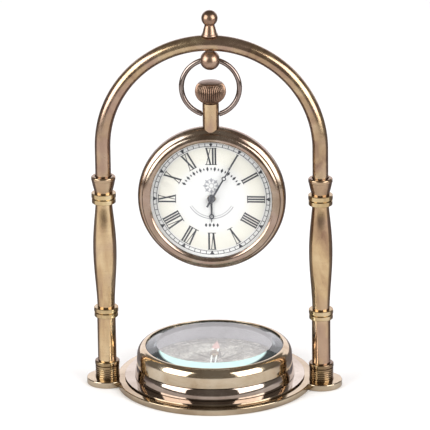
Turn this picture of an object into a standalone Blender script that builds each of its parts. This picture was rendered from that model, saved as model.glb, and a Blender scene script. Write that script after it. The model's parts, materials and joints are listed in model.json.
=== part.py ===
"""Brass desk clock: a pocket watch hung by its bow in an arch stand, above a compass.

Metres, +Z up. The origin is the centre of the base plate's disc, on its underside.
+X is to the right of a person who faces the dial, and the dial faces -Y.
"""
import math

import bmesh
import bpy
from mathutils import Matrix, Vector

MM = 0.001
GAP = 0.3 * MM
RUNNING = 0.06 * MM

# Base plate: a disc with one lobe under each column.
PLATE_THICKNESS = 2.2 * MM
DISC_RADIUS = 33.5 * MM
LOBE_RADIUS = 7.1 * MM
COLUMN_X = 36.6 * MM
COLUMN_Y = -2.4 * MM

# Columns: the levels where one turned piece ends and the next begins.
COLUMN_LEVELS = {
    "column_foot": (PLATE_THICKNESS + GAP, 8.1 * MM),
    "column_stem": (8.4 * MM, 24.0 * MM),
    "lower_ring": (24.3 * MM, 27.4 * MM),
    "baluster": (27.7 * MM, 64.6 * MM),
    "upper_ring": (64.9 * MM, 68.2 * MM),
    "column_cup": (68.5 * MM, 74.2 * MM),
}
FOOT_RADIUS = 4.2 * MM
STEM_RADIUS = 3.15 * MM
RING_RADIUS = 4.15 * MM
GROOVE_DEPTH = 0.7 * MM
BALUSTER_BOTTOM = 2.95 * MM
BALUSTER_BELLY = 4.0 * MM
BALUSTER_TOP = 2.8 * MM
CUP_BOTTOM = 3.1 * MM
CUP_RADIUS = 4.1 * MM
ROD_RADIUS = 1.25 * MM
ROD_BORE = ROD_RADIUS + GAP
ROD_TOP = 80.0 * MM

# Arch bar, finial and hanging ball.
BAR_RADIUS = 2.65 * MM
BAR_FOOT_Z = 69.8 * MM
ARCH_CENTRE_Z = 84.4 * MM
ARCH_TOP_Z = ARCH_CENTRE_Z + COLUMN_X
FINIAL_BASE_Z = ARCH_TOP_Z + BAR_RADIUS + GAP
FINIAL_BALL_RADIUS = 2.7 * MM
FINIAL_TIP_Z = 132.2 * MM
SHANK_RADIUS = 0.8 * MM
BALL_RADIUS = 3.35 * MM
BALL_Z = ARCH_TOP_Z - BAR_RADIUS - BALL_RADIUS
BALL_BORE = 1.4 * MM

# Bow: a ring of wire, open at its foot, whose ends are pins in the pendant.
BOW_RADIUS = 9.75 * MM
WIRE_RADIUS = 0.875 * MM
BOW_Z = BALL_Z + 0.28 * MM - BOW_RADIUS
BOW_PIN_RADIUS = 0.5 * MM
BOW_PIN_Z = 96.3 * MM
BOW_SHOULDER_X = 3.2 * MM
BOW_PIN_END_X = 1.9 * MM

# Pocket watch. Heights along its own axis run from the case's middle to the front.
WATCH_Z = 66.9 * MM
PENDANT_RADIUS = 2.75 * MM
PENDANT_TOP_Z = 100.2 * MM
PENDANT_BORE = 1.1 * MM
CROWN_BOTTOM_Z = 100.5 * MM
CROWN_HEIGHT = 7.15 * MM
CROWN_FLUTES = 24
CROWN_FLUTE_DEPTH = 0.22 * MM
STEM_WIRE = 0.45 * MM
SOCKET_RADIUS = 0.8 * MM
DIAL_RADIUS = 21.0 * MM
DIAL_FRONT = 1.6 * MM
DIAL_BACK = 1.2 * MM
HOUR_HAND_LEVEL = (2.0 * MM, 2.25 * MM)
MINUTE_HAND_LEVEL = (2.55 * MM, 2.8 * MM)
HOUR_HAND_LENGTH = 8.0 * MM
MINUTE_HAND_LENGTH = 17.8 * MM
MINUTE_HAND_ANGLE = math.radians(-30)
HOUR_HAND_ANGLE = math.radians(180)

# Motion work: two gear pairs on one centre distance that turn 12 to 1.
WHEEL_DISTANCE = 5.0 * MM
WHEEL_DIRECTION = math.radians(200)
PINION_TEETH = 8
MINUTE_WHEEL_TEETH = 24
HOUR_WHEEL_TEETH = 32
POST_RADIUS = 0.35 * MM
SIDE_POST_RADIUS = 0.25 * MM
CANNON_RADIUS = 0.6 * MM
HOUR_PIPE_RADIUS = 0.92 * MM

# Compass on the base plate.
FLANGE_RADIUS = 30.7 * MM
BOWL_RADIUS = 27.3 * MM
COMPASS_BEZEL_RADIUS = 26.6 * MM
COMPASS_GLASS_RADIUS = 23.3 * MM
COMPASS_GLASS_TOP = 14.0 * MM
CARD_RADIUS = 22.6 * MM
NEEDLE_HALF_LENGTH = 17.0 * MM
NEEDLE_HALF_WIDTH = 2.4 * MM
COMPASS_SCREW_CIRCLE = 18.0 * MM
COMPASS_SCREWS = 3

ROUND_LARGE = 36
ROUND_COLUMN = 14
ROUND_SMALL = 12
ARCH_STEPS = 26
BOW_STEPS = 30

# Colour, roughness and metallic value of each material.
FINISHES = {
    "antique_brass": ((0.50, 0.36, 0.17), 0.24, 1.0),
    "base_brass": ((0.55, 0.47, 0.36), 0.22, 1.0),
    "dark_brass": ((0.40, 0.26, 0.15), 0.32, 1.0),
    "card_brass": ((0.62, 0.52, 0.36), 0.45, 0.8),
    "steel": ((0.55, 0.55, 0.56), 0.30, 1.0),
    "watch_glass": ((0.95, 0.97, 0.98), 0.05, 0.0),
    "compass_glass_clear": ((0.80, 0.93, 0.92), 0.05, 0.0),
    "dial_white": ((0.92, 0.91, 0.87), 0.50, 0.0),
    "hand_black": ((0.06, 0.06, 0.07), 0.40, 0.2),
    "white_plastic": ((0.80, 0.80, 0.78), 0.50, 0.0),
    "board_green": ((0.05, 0.22, 0.12), 0.50, 0.0),
    "copper_wire": ((0.70, 0.33, 0.18), 0.35, 1.0),
    "needle_blue": ((0.08, 0.10, 0.22), 0.35, 0.6),
}


def in_mm(points):
    """Points given in millimetres, as metres."""
    return [(first * MM, second * MM) for first, second in points]


def clear_scene():
    """Remove every object that a new file opens with."""
    for item in list(bpy.data.objects):
        bpy.data.objects.remove(item, do_unlink=True)


def make_material(name):
    """One Principled material from the FINISHES table."""
    colour, roughness, metallic = FINISHES[name]
    material = bpy.data.materials.new(name)
    material.use_nodes = True
    shader = material.node_tree.nodes["Principled BSDF"]
    shader.inputs["Base Color"].default_value = (*colour, 1.0)
    shader.inputs["Roughness"].default_value = roughness
    shader.inputs["Metallic"].default_value = metallic
    material.diffuse_color = (*colour, 1.0)
    return material


def add_empty(name, location, parent=None):
    """An empty that marks the axis of a moving group."""
    empty = bpy.data.objects.new(name, None)
    empty.location = location
    bpy.context.scene.collection.objects.link(empty)
    if parent is not None:
        attach(empty, parent)
    return empty


def attach(item, parent):
    """Parent an object whose location is in world metres to an unrotated empty."""
    bpy.context.view_layer.update()
    item.parent = parent
    item.matrix_parent_inverse = parent.matrix_world.inverted()


def add_solid(name, shape, material, location=(0, 0, 0), turn=(0, 0, 0), parent=None):
    """Make one closed object from (vertices, faces) at a place in world metres."""
    vertices, faces = shape
    mesh = bpy.data.meshes.new(name)
    mesh.from_pydata(vertices, [], faces)
    cleaner = bmesh.new()
    cleaner.from_mesh(mesh)
    bmesh.ops.recalc_face_normals(cleaner, faces=cleaner.faces)
    cleaner.to_mesh(mesh)
    cleaner.free()
    mesh.shade_smooth()
    mesh.set_sharp_from_angle(angle=math.radians(35))
    item = bpy.data.objects.new(name, mesh)
    item.location = location
    item.rotation_euler = turn
    if material is not None:
        mesh.materials.append(material)
    bpy.context.scene.collection.objects.link(item)
    if parent is not None:
        attach(item, parent)
    return item


def add_cutter(name, shape, location=(0, 0, 0), turn=(0, 0, 0), parent=None):
    """A hidden solid that only takes part in Boolean operations."""
    cutter = add_solid(name, shape, None, location, turn, parent)
    cutter.hide_render = True
    cutter.display_type = "WIRE"
    return cutter


def combine(item, other, operation="DIFFERENCE"):
    """Cut a hidden solid from an object, or join it to the object."""
    modifier = item.modifiers.new(other.name, "BOOLEAN")
    modifier.operation = operation
    modifier.solver = "EXACT"
    modifier.object = other


def turned(outline, segments, ring=False):
    """Revolve (radius, height) points about Z; radius 0 is a pole.

    The outline runs up the outside. A ring's outline comes back down its bore and closes.
    """
    vertices = []
    loops = []
    for radius, height in outline:
        count = 1 if radius == 0 else segments
        loops.append([len(vertices) + k for k in range(count)])
        for k in range(count):
            angle = 2 * math.pi * k / segments
            vertices.append((radius * math.cos(angle), radius * math.sin(angle), height))
    pairs = list(zip(loops, loops[1:]))
    if ring:
        pairs.append((loops[-1], loops[0]))
    faces = []
    for low, high in pairs:
        flat = vertices[low[0]][2] == vertices[high[0]][2]
        if flat and len(low) == 1:
            faces.append(high[::-1])
            continue
        if flat and len(high) == 1:
            faces.append(low)
            continue
        for k in range(segments):
            step = (k + 1) % segments
            corners = [low[k % len(low)], low[step % len(low)]]
            corners += [high[step % len(high)], high[k % len(high)]]
            faces.append(list(dict.fromkeys(corners)))
    used = sorted({corner for face in faces for corner in face})
    number = {corner: k for k, corner in enumerate(used)}
    return [vertices[k] for k in used], [[number[corner] for corner in face] for face in faces]


def rod(radius, bottom, top, segments=ROUND_SMALL):
    """A plain cylinder on Z."""
    return turned([(0, bottom), (radius, bottom), (radius, top), (0, top)], segments)


def tube(outer, inner, bottom, top, segments=ROUND_SMALL):
    """A plain tube on Z."""
    outline = [(outer, bottom), (outer, top), (inner, top), (inner, bottom)]
    return turned(outline, segments, ring=True)


def extruded(outline, bottom, top):
    """A flat plate whose outline is a list of (x, y) points."""
    count = len(outline)
    vertices = [(x, y, bottom) for x, y in outline] + [(x, y, top) for x, y in outline]
    faces = [list(range(count))[::-1], list(range(count, 2 * count))]
    for k in range(count):
        step = (k + 1) % count
        faces.append([k, step, count + step, count + k])
    return vertices, faces


def swept(sections, sides):
    """A solid through round sections (x, z, direction angle, radius) in the XZ plane."""
    vertices = []
    for x, z, direction, radius in sections:
        across = (-math.sin(direction), math.cos(direction))
        for k in range(sides):
            angle = 2 * math.pi * k / sides
            reach = radius * math.cos(angle)
            vertices.append((x + reach * across[0], radius * math.sin(angle), z + reach * across[1]))
    last = len(sections) * sides - sides
    faces = [list(range(sides)), list(range(last, last + sides))[::-1]]
    for start in range(0, last, sides):
        for k in range(sides):
            step = (k + 1) % sides
            faces.append([start + k, start + step, start + sides + step, start + sides + k])
    return vertices, faces


def arc(centre, radius, start, end, steps):
    """Points on an arc, both ends included."""
    points = []
    for k in range(steps + 1):
        angle = start + (end - start) * k / steps
        points.append((centre[0] + radius * math.cos(angle), centre[1] + radius * math.sin(angle)))
    return points


def plate_outline():
    """The disc and its two lobes, as four arcs that meet at the sharp corners."""
    lobe_distance = math.hypot(COLUMN_X, COLUMN_Y)
    along = (DISC_RADIUS ** 2 - LOBE_RADIUS ** 2 + lobe_distance ** 2) / (2 * lobe_distance)
    aside = math.sqrt(DISC_RADIUS ** 2 - along ** 2)
    disc_half = math.atan2(aside, along)
    lobe_half = math.atan2(aside, along - lobe_distance)
    right = math.atan2(COLUMN_Y, COLUMN_X)
    left = math.pi - right
    outline = []
    outline += arc((COLUMN_X, COLUMN_Y), LOBE_RADIUS, right - lobe_half, right + lobe_half, 14)[:-1]
    outline += arc((0, 0), DISC_RADIUS, right + disc_half, left - disc_half, 26)[:-1]
    outline += arc((-COLUMN_X, COLUMN_Y), LOBE_RADIUS, left - lobe_half, left + lobe_half, 14)[:-1]
    end = right + 2 * math.pi - disc_half
    outline += arc((0, 0), DISC_RADIUS, left + disc_half, end, 26)[:-1]
    return outline


def double_ring_outline(bottom, top):
    """Two square bands with a groove between them, round the tie rod's bore."""
    middle = (bottom + top) / 2
    lip = 0.15 * MM
    half_groove = 0.25 * MM
    return [
        (RING_RADIUS - lip, bottom),
        (RING_RADIUS, bottom + lip),
        (RING_RADIUS, middle - half_groove),
        (RING_RADIUS - GROOVE_DEPTH, middle),
        (RING_RADIUS, middle + half_groove),
        (RING_RADIUS, top - lip),
        (RING_RADIUS - lip, top),
        (ROD_BORE, top),
        (ROD_BORE, bottom),
    ]


def baluster_outline(bottom, top):
    """A long swelling shaft, widest a little above its middle."""
    height = top - bottom
    outline = []
    steps = 8
    for k in range(steps + 1):
        share = k / steps
        base = BALUSTER_BOTTOM + (BALUSTER_TOP - BALUSTER_BOTTOM) * share
        swell = math.sin(math.pi * share ** 1.15) ** 1.3
        outline.append((base + (BALUSTER_BELLY - base) * swell, bottom + height * share))
    outline.append((ROD_BORE, top))
    outline.append((ROD_BORE, bottom))
    return outline


def foot_outline(bottom, top):
    """A straight collar with a groove under the band at its top."""
    band = 1.25 * MM
    waist = FOOT_RADIUS - 0.5 * MM
    notch = 0.15 * MM
    return [
        (FOOT_RADIUS, bottom),
        (FOOT_RADIUS, top - band - 3 * notch),
        (waist, top - band - 2 * notch),
        (waist, top - band - notch),
        (FOOT_RADIUS, top - band),
        (FOOT_RADIUS, top - notch),
        (FOOT_RADIUS - notch, top),
        (ROD_BORE, top),
        (ROD_BORE, bottom),
    ]


def cup_outline(bottom, top):
    """A flared cup whose mouth takes the end of the arch bar."""
    mouth = BAR_RADIUS + GAP
    floor = BAR_FOOT_Z - GAP
    return [
        (CUP_BOTTOM, bottom),
        (CUP_BOTTOM + 0.05 * MM, bottom + 0.7 * MM),
        (CUP_BOTTOM + 0.45 * MM, bottom + 2.0 * MM),
        (CUP_RADIUS - 0.2 * MM, bottom + 3.5 * MM),
        (CUP_RADIUS, top - 1.4 * MM),
        (CUP_RADIUS, top - 0.3 * MM),
        (CUP_RADIUS - 0.3 * MM, top),
        (mouth, top),
        (mouth, floor),
        (ROD_BORE, floor),
        (ROD_BORE, bottom),
    ]


def stem_outline(bottom, top):
    """The plain lower length of a column."""
    return [(STEM_RADIUS, bottom), (STEM_RADIUS, top), (ROD_BORE, top), (ROD_BORE, bottom)]


def countersink(shank, head, mouth, shoulder, top):
    """A cutter for a screw that comes up through the base plate."""
    outline = [(0, -MM), (head, -MM), (head, mouth), (shank, shoulder), (shank, top), (0, top)]
    return turned(outline, ROUND_SMALL)


def countersunk_screw(shank, head, top):
    """A flat-headed screw that stays above the plate's underside."""
    low = 0.4 * MM
    cone = low + 0.3 * MM
    shoulder = cone + head - shank
    outline = [(0, low), (head, low), (head, cone), (shank, shoulder), (shank, top), (0, top)]
    return turned(outline, ROUND_SMALL)


def build_base(materials):
    """The base plate with the holes for its screws."""
    shape = extruded(plate_outline(), 0, PLATE_THICKNESS)
    plate = add_solid("base_plate", shape, materials["base_brass"])
    for side, sign in (("left", -1), ("right", 1)):
        shape = countersink(ROD_BORE, 2.7 * MM, 0.9 * MM, 2.05 * MM, PLATE_THICKNESS + MM)
        cutter = add_cutter("rod_hole_" + side, shape, (sign * COLUMN_X, COLUMN_Y, 0))
        combine(plate, cutter)
    for k, (x, y) in enumerate(compass_screw_places()):
        shape = countersink(1.1 * MM, 2.1 * MM, 0.9 * MM, 1.9 * MM, 4.1 * MM)
        cutter = add_cutter("screw_hole_%d" % (k + 1), shape, (x, y, 0))
        combine(plate, cutter)
    return plate


def compass_screw_places():
    """Where the compass screws stand, on a circle round the origin."""
    places = []
    for k in range(COMPASS_SCREWS):
        angle = math.pi / 2 + 2 * math.pi * k / COMPASS_SCREWS
        places.append((COMPASS_SCREW_CIRCLE * math.cos(angle), COMPASS_SCREW_CIRCLE * math.sin(angle)))
    return places


def build_columns(materials):
    """Both columns: six turned pieces threaded on a tie rod."""
    outlines = {
        "column_foot": foot_outline,
        "column_stem": stem_outline,
        "lower_ring": double_ring_outline,
        "baluster": baluster_outline,
        "upper_ring": double_ring_outline,
        "column_cup": cup_outline,
    }
    for side, sign in (("left", -1), ("right", 1)):
        place = (sign * COLUMN_X, COLUMN_Y, 0)
        for piece, levels in COLUMN_LEVELS.items():
            shape = turned(outlines[piece](*levels), ROUND_COLUMN, ring=True)
            add_solid(piece + "_" + side, shape, materials["antique_brass"], place)
        shape = countersunk_screw(ROD_RADIUS, 2.3 * MM, ROD_TOP)
        add_solid("tie_rod_" + side, shape, materials["steel"], place)


def arch_sections():
    """The bar's centre line: a leg, a half circle and a leg."""
    sections = [(-COLUMN_X, BAR_FOOT_Z, math.pi / 2, BAR_RADIUS)]
    for k in range(ARCH_STEPS + 1):
        angle = math.pi * (1 - k / ARCH_STEPS)
        x = COLUMN_X * math.cos(angle)
        z = ARCH_CENTRE_Z + COLUMN_X * math.sin(angle)
        sections.append((x, z, angle - math.pi / 2, BAR_RADIUS))
    sections.append((COLUMN_X, BAR_FOOT_Z, -math.pi / 2, BAR_RADIUS))
    return sections


def build_arch(materials):
    """The bent bar, the finial with its screw and the ball that it holds."""
    middle = (0, COLUMN_Y, 0)
    bar = add_solid("arch_bar", swept(arch_sections(), 14), materials["antique_brass"], middle)
    for side, sign in (("left", -1), ("right", 1)):
        shape = rod(ROD_BORE, BAR_FOOT_Z - MM, ROD_TOP + GAP)
        cutter = add_cutter("bar_bore_" + side, shape, (sign * COLUMN_X, COLUMN_Y, 0))
        combine(bar, cutter)
    shape = rod(SHANK_RADIUS + GAP, ARCH_TOP_Z - 4 * MM, ARCH_TOP_Z + 4 * MM)
    combine(bar, add_cutter("bar_hole", shape, middle))

    shank_end = BALL_Z + BALL_BORE + 0.7 * MM
    ball_centre = FINIAL_TIP_Z - FINIAL_BALL_RADIUS
    outline = [(0, shank_end), (SHANK_RADIUS, shank_end), (SHANK_RADIUS, FINIAL_BASE_Z)]
    outline += [(2.8 * MM, FINIAL_BASE_Z), (2.8 * MM, FINIAL_BASE_Z + 0.5 * MM)]
    outline += [(2.0 * MM, ball_centre - 3.2 * MM), (1.75 * MM, ball_centre - 2.15 * MM)]
    rounds = arc((0, ball_centre), FINIAL_BALL_RADIUS, math.radians(-42), math.pi / 2, 7)
    outline += rounds[:-1] + [(0, FINIAL_TIP_Z)]
    add_solid("finial", turned(outline, ROUND_COLUMN), materials["dark_brass"], middle)

    flat_z = BALL_Z + BALL_RADIUS - GAP
    flat_angle = math.asin((flat_z - BALL_Z) / BALL_RADIUS)
    rounds = arc((0, BALL_Z), BALL_RADIUS, -math.pi / 2, flat_angle, 9)
    outline = [(0, BALL_Z - BALL_RADIUS)] + rounds[1:] + [(0, flat_z)]
    ball = add_solid("hanger_ball", turned(outline, 18), materials["dark_brass"], middle)
    shape = rod(BALL_BORE, -5 * MM, 5 * MM, 14)
    combine(ball, add_cutter("ball_bore", shape, (0, COLUMN_Y, BALL_Z), (0, math.pi / 2, 0)))
    shape = rod(SHANK_RADIUS + GAP, shank_end - GAP, flat_z + MM)
    combine(ball, add_cutter("ball_thread", shape, middle))


def bow_sections():
    """The bow's wire from its left pin over the top to its right pin."""
    reach = BOW_SHOULDER_X + 0.25 * MM
    start = math.acos(reach / BOW_RADIUS)
    inward = BOW_SHOULDER_X - 0.08 * MM
    left = [(-BOW_PIN_END_X, BOW_PIN_Z, math.pi, BOW_PIN_RADIUS)]
    left.append((-inward, BOW_PIN_Z, math.pi, BOW_PIN_RADIUS))
    left.append((-BOW_SHOULDER_X, BOW_PIN_Z, math.pi, WIRE_RADIUS))
    sweep = 2 * math.pi - 2 * (math.pi / 2 - start)
    wire = []
    for k in range(BOW_STEPS + 1):
        angle = -math.pi / 2 - (math.pi / 2 - start) - sweep * k / BOW_STEPS
        x = BOW_RADIUS * math.cos(angle)
        z = BOW_Z + BOW_RADIUS * math.sin(angle)
        wire.append((x, z, angle - math.pi / 2, WIRE_RADIUS))
    right = [(-x, z, direction, radius) for x, z, direction, radius in left[::-1]]
    return left + wire + right


def build_bow(materials, bow_axis):
    """The bow, which swings in the ball."""
    vertices, faces = swept(bow_sections(), 10)
    vertices = [(x, y, z - BALL_Z) for x, y, z in vertices]
    place = (0, COLUMN_Y, BALL_Z)
    add_solid("bow_ring", (vertices, faces), materials["dark_brass"], place, parent=bow_axis)


def middle_outline(offset=0.0):
    """The case's rounded middle band, or the same band grown for a saddle cut."""
    crest = 25.0 * MM + offset
    half = 2.9 * MM + offset
    front = [(23.3 * MM + offset, half), (23.9 * MM + offset, 2.65 * MM), (24.6 * MM + offset, 1.85 * MM)]
    outer = [(r, -w) for r, w in front] + [(crest, -0.7 * MM), (crest, 0.7 * MM)] + front[::-1]
    return outer


def add_watch_solid(name, outline, material, parent, segments=ROUND_LARGE, ring=False):
    """A piece turned about the watch's axis, its height towards the front."""
    shape = turned(outline, segments, ring)
    place = (0, COLUMN_Y, WATCH_Z)
    return add_solid(name, shape, material, place, (math.pi / 2, 0, 0), parent)


def build_case(materials, tilt_axis):
    """Case middle, bezel, back, crystal, pendant and dial."""
    brass = materials["antique_brass"]
    outline = middle_outline() + in_mm([(22.3, 2.9), (22.3, 1.2), (21.3, 1.2), (21.3, -2.9)])
    middle = add_watch_solid("case_middle", outline, brass, tilt_axis, ring=True)

    outline = [(21.5, 1.5), (22.0, 1.5), (22.0, 3.2), (23.3, 3.2), (23.45, 3.6), (23.2, 4.15)]
    outline += [(22.5, 4.6), (21.6, 4.75), (20.9, 4.5), (20.5, 4.05), (20.5, 3.75), (21.5, 3.75)]
    add_watch_solid("case_bezel", in_mm(outline), brass, tilt_axis, ring=True)

    outline = [(0, -5.9), (12.0, -5.55), (19.0, -4.95), (22.6, -4.25), (23.4, -3.6), (23.3, -3.2)]
    outline += [(21.9, -3.2), (21.7, -3.8), (18.8, -4.4), (12.0, -4.95), (0, -5.25)]
    add_watch_solid("case_back", in_mm(outline), brass, tilt_axis)

    outline = [(0, 5.0), (10.0, 4.47), (16.0, 3.63), (20.2, 2.6), (21.2, 2.4), (21.2, 3.45)]
    outline += [(20.2, 3.45), (20.1, 3.9), (15.0, 4.78), (8.0, 5.6), (0, 5.9)]
    add_watch_solid("crystal", in_mm(outline), materials["watch_glass"], tilt_axis)

    outline = [(DIAL_RADIUS, DIAL_BACK), (DIAL_RADIUS, DIAL_FRONT)]
    outline += [(1.4 * MM, DIAL_FRONT), (1.4 * MM, DIAL_BACK)]
    add_watch_solid("dial", outline, materials["dial_white"], tilt_axis, ring=True)

    outline = in_mm([(21.0, -2.6), (21.0, 0.9), (11.2, 0.9), (11.2, -2.6)])
    plastic = materials["white_plastic"]
    holder = add_watch_solid("movement_holder", outline, plastic, tilt_axis, ring=True)

    place = (0, COLUMN_Y, 0)
    outline = [(PENDANT_RADIUS, WATCH_Z + 22.5 * MM), (PENDANT_RADIUS, PENDANT_TOP_Z - 0.3 * MM)]
    outline += [(PENDANT_RADIUS - 0.3 * MM, PENDANT_TOP_Z), (PENDANT_BORE, PENDANT_TOP_Z)]
    outline += [(PENDANT_BORE, WATCH_Z + 22.5 * MM)]
    pendant = add_solid("pendant", turned(outline, 18, ring=True), brass, place, parent=tilt_axis)
    saddle = middle_outline(GAP)
    shape = turned([(0, saddle[0][1])] + saddle + [(0, saddle[-1][1])], 72)
    place = (0, COLUMN_Y, WATCH_Z)
    combine(pendant, add_cutter("pendant_saddle", shape, place, (math.pi / 2, 0, 0), tilt_axis))
    for side, sign in (("left", -1), ("right", 1)):
        shape = rod(BOW_PIN_RADIUS + RUNNING, 1.65 * MM, 4 * MM)
        place = (0, COLUMN_Y, BOW_PIN_Z)
        turn = (0, sign * math.pi / 2, 0)
        combine(pendant, add_cutter("bow_pin_hole_" + side, shape, place, turn, tilt_axis))

    shape = rod(PENDANT_BORE, WATCH_Z + 10 * MM, WATCH_Z + 27 * MM)
    bore = add_cutter("stem_bore", shape, (0, COLUMN_Y, 0), parent=tilt_axis)
    combine(middle, bore)
    combine(holder, bore)


def build_crown(materials, tilt_axis):
    """Fluted crown, its sliding stem and the socket that the stem turns."""
    place = (0, COLUMN_Y, 0)
    profile = [(0, 3.6), (0.75, 3.6), (0.75, 0.0), (2.9, 0.0), (4.3, 1.1), (5.05, 2.5)]
    profile += [(5.25, 3.6), (5.05, 4.9), (4.3, 6.1), (3.9, 6.4), (3.5, 6.75), (2.0, 7.05)]
    outline = [(r, CROWN_BOTTOM_Z + h) for r, h in in_mm(profile)]
    outline.append((0, CROWN_BOTTOM_Z + CROWN_HEIGHT))
    hole_top = outline[0][1]
    segments = 2 * CROWN_FLUTES
    vertices, faces = turned(outline, segments)
    fluted = []
    for x, y, z in vertices:
        radius = math.hypot(x, y)
        in_valley = round(math.atan2(y, x) / (2 * math.pi) * segments) % 2
        in_band = radius > 4.0 * MM
        scale = 1 - CROWN_FLUTE_DEPTH / radius if in_valley and in_band else 1.0
        fluted.append((x * scale, y * scale, z))
    add_solid("crown", (fluted, faces), materials["dark_brass"], place, parent=tilt_axis)

    shape = rod(STEM_WIRE, WATCH_Z + 20.6 * MM, hole_top - GAP)
    add_solid("crown_stem", shape, materials["steel"], place, parent=tilt_axis)
    foot = WATCH_Z + 12 * MM
    outline = [(0, foot), (SOCKET_RADIUS, foot), (SOCKET_RADIUS, WATCH_Z + 24 * MM)]
    outline += [(STEM_WIRE + RUNNING, WATCH_Z + 24 * MM), (STEM_WIRE + RUNNING, WATCH_Z + 20 * MM)]
    outline += [(0, WATCH_Z + 20 * MM)]
    add_solid("stem_socket", turned(outline, ROUND_SMALL), materials["steel"], place, parent=tilt_axis)


def gear_outline(teeth, module, phase):
    """A spur gear with slim straight-sided teeth; one tooth is centred on phase."""
    pitch = 2 * math.pi / teeth
    root = module * (teeth / 2 - 1.25)
    tip = module * (teeth / 2 + 0.8)
    outline = []
    for k in range(teeth):
        for radius, offset in ((root, -0.28), (tip, -0.1), (tip, 0.1), (root, 0.28)):
            angle = phase + pitch * (k + offset)
            outline.append((radius * math.cos(angle), radius * math.sin(angle)))
    return outline


def hand_outline(length, tail, ring_at, ring_radius):
    """A hand that points along +Y, with a round hub and a ring near its tip."""
    hub = 1.25 * MM
    root = 0.32 * MM
    neck = 0.22 * MM
    hub_angle = math.asin(root / hub)
    ring_angle = math.asin(neck / ring_radius)
    half = [(0.3 * MM, -tail)]
    half += arc((0, 0), hub, -math.pi / 2 + hub_angle, math.pi / 2 - hub_angle, 8)
    half += arc((0, ring_at), ring_radius, -math.pi / 2 + ring_angle, math.pi / 2 - ring_angle, 6)
    half.append((0.07 * MM, length))
    return half + [(-x, y) for x, y in half[::-1]]


def build_hand(name, level, outline, angle, hub_bore, ring_at, material, parent):
    """A flat hand with an open hub and an open ring."""
    place = (0, COLUMN_Y, WATCH_Z)
    spin = Matrix.Rotation(angle, 4, "Z")
    shape = extruded(outline, *level)
    vertices = [tuple(spin @ Vector(corner)) for corner in shape[0]]
    turn = (math.pi / 2, 0, 0)
    hand = add_solid(name, (vertices, shape[1]), material, place, turn, parent)
    shape = rod(hub_bore, level[0] - MM, level[1] + MM)
    combine(hand, add_cutter(name + "_bore", shape, place, turn, parent))
    centre = spin @ Vector((0, ring_at, 0))
    vertices, faces = rod(0.42 * MM, level[0] - MM, level[1] + MM, 8)
    vertices = [(x + centre.x, y + centre.y, z) for x, y, z in vertices]
    combine(hand, add_cutter(name + "_eye", (vertices, faces), place, turn, parent))


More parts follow.
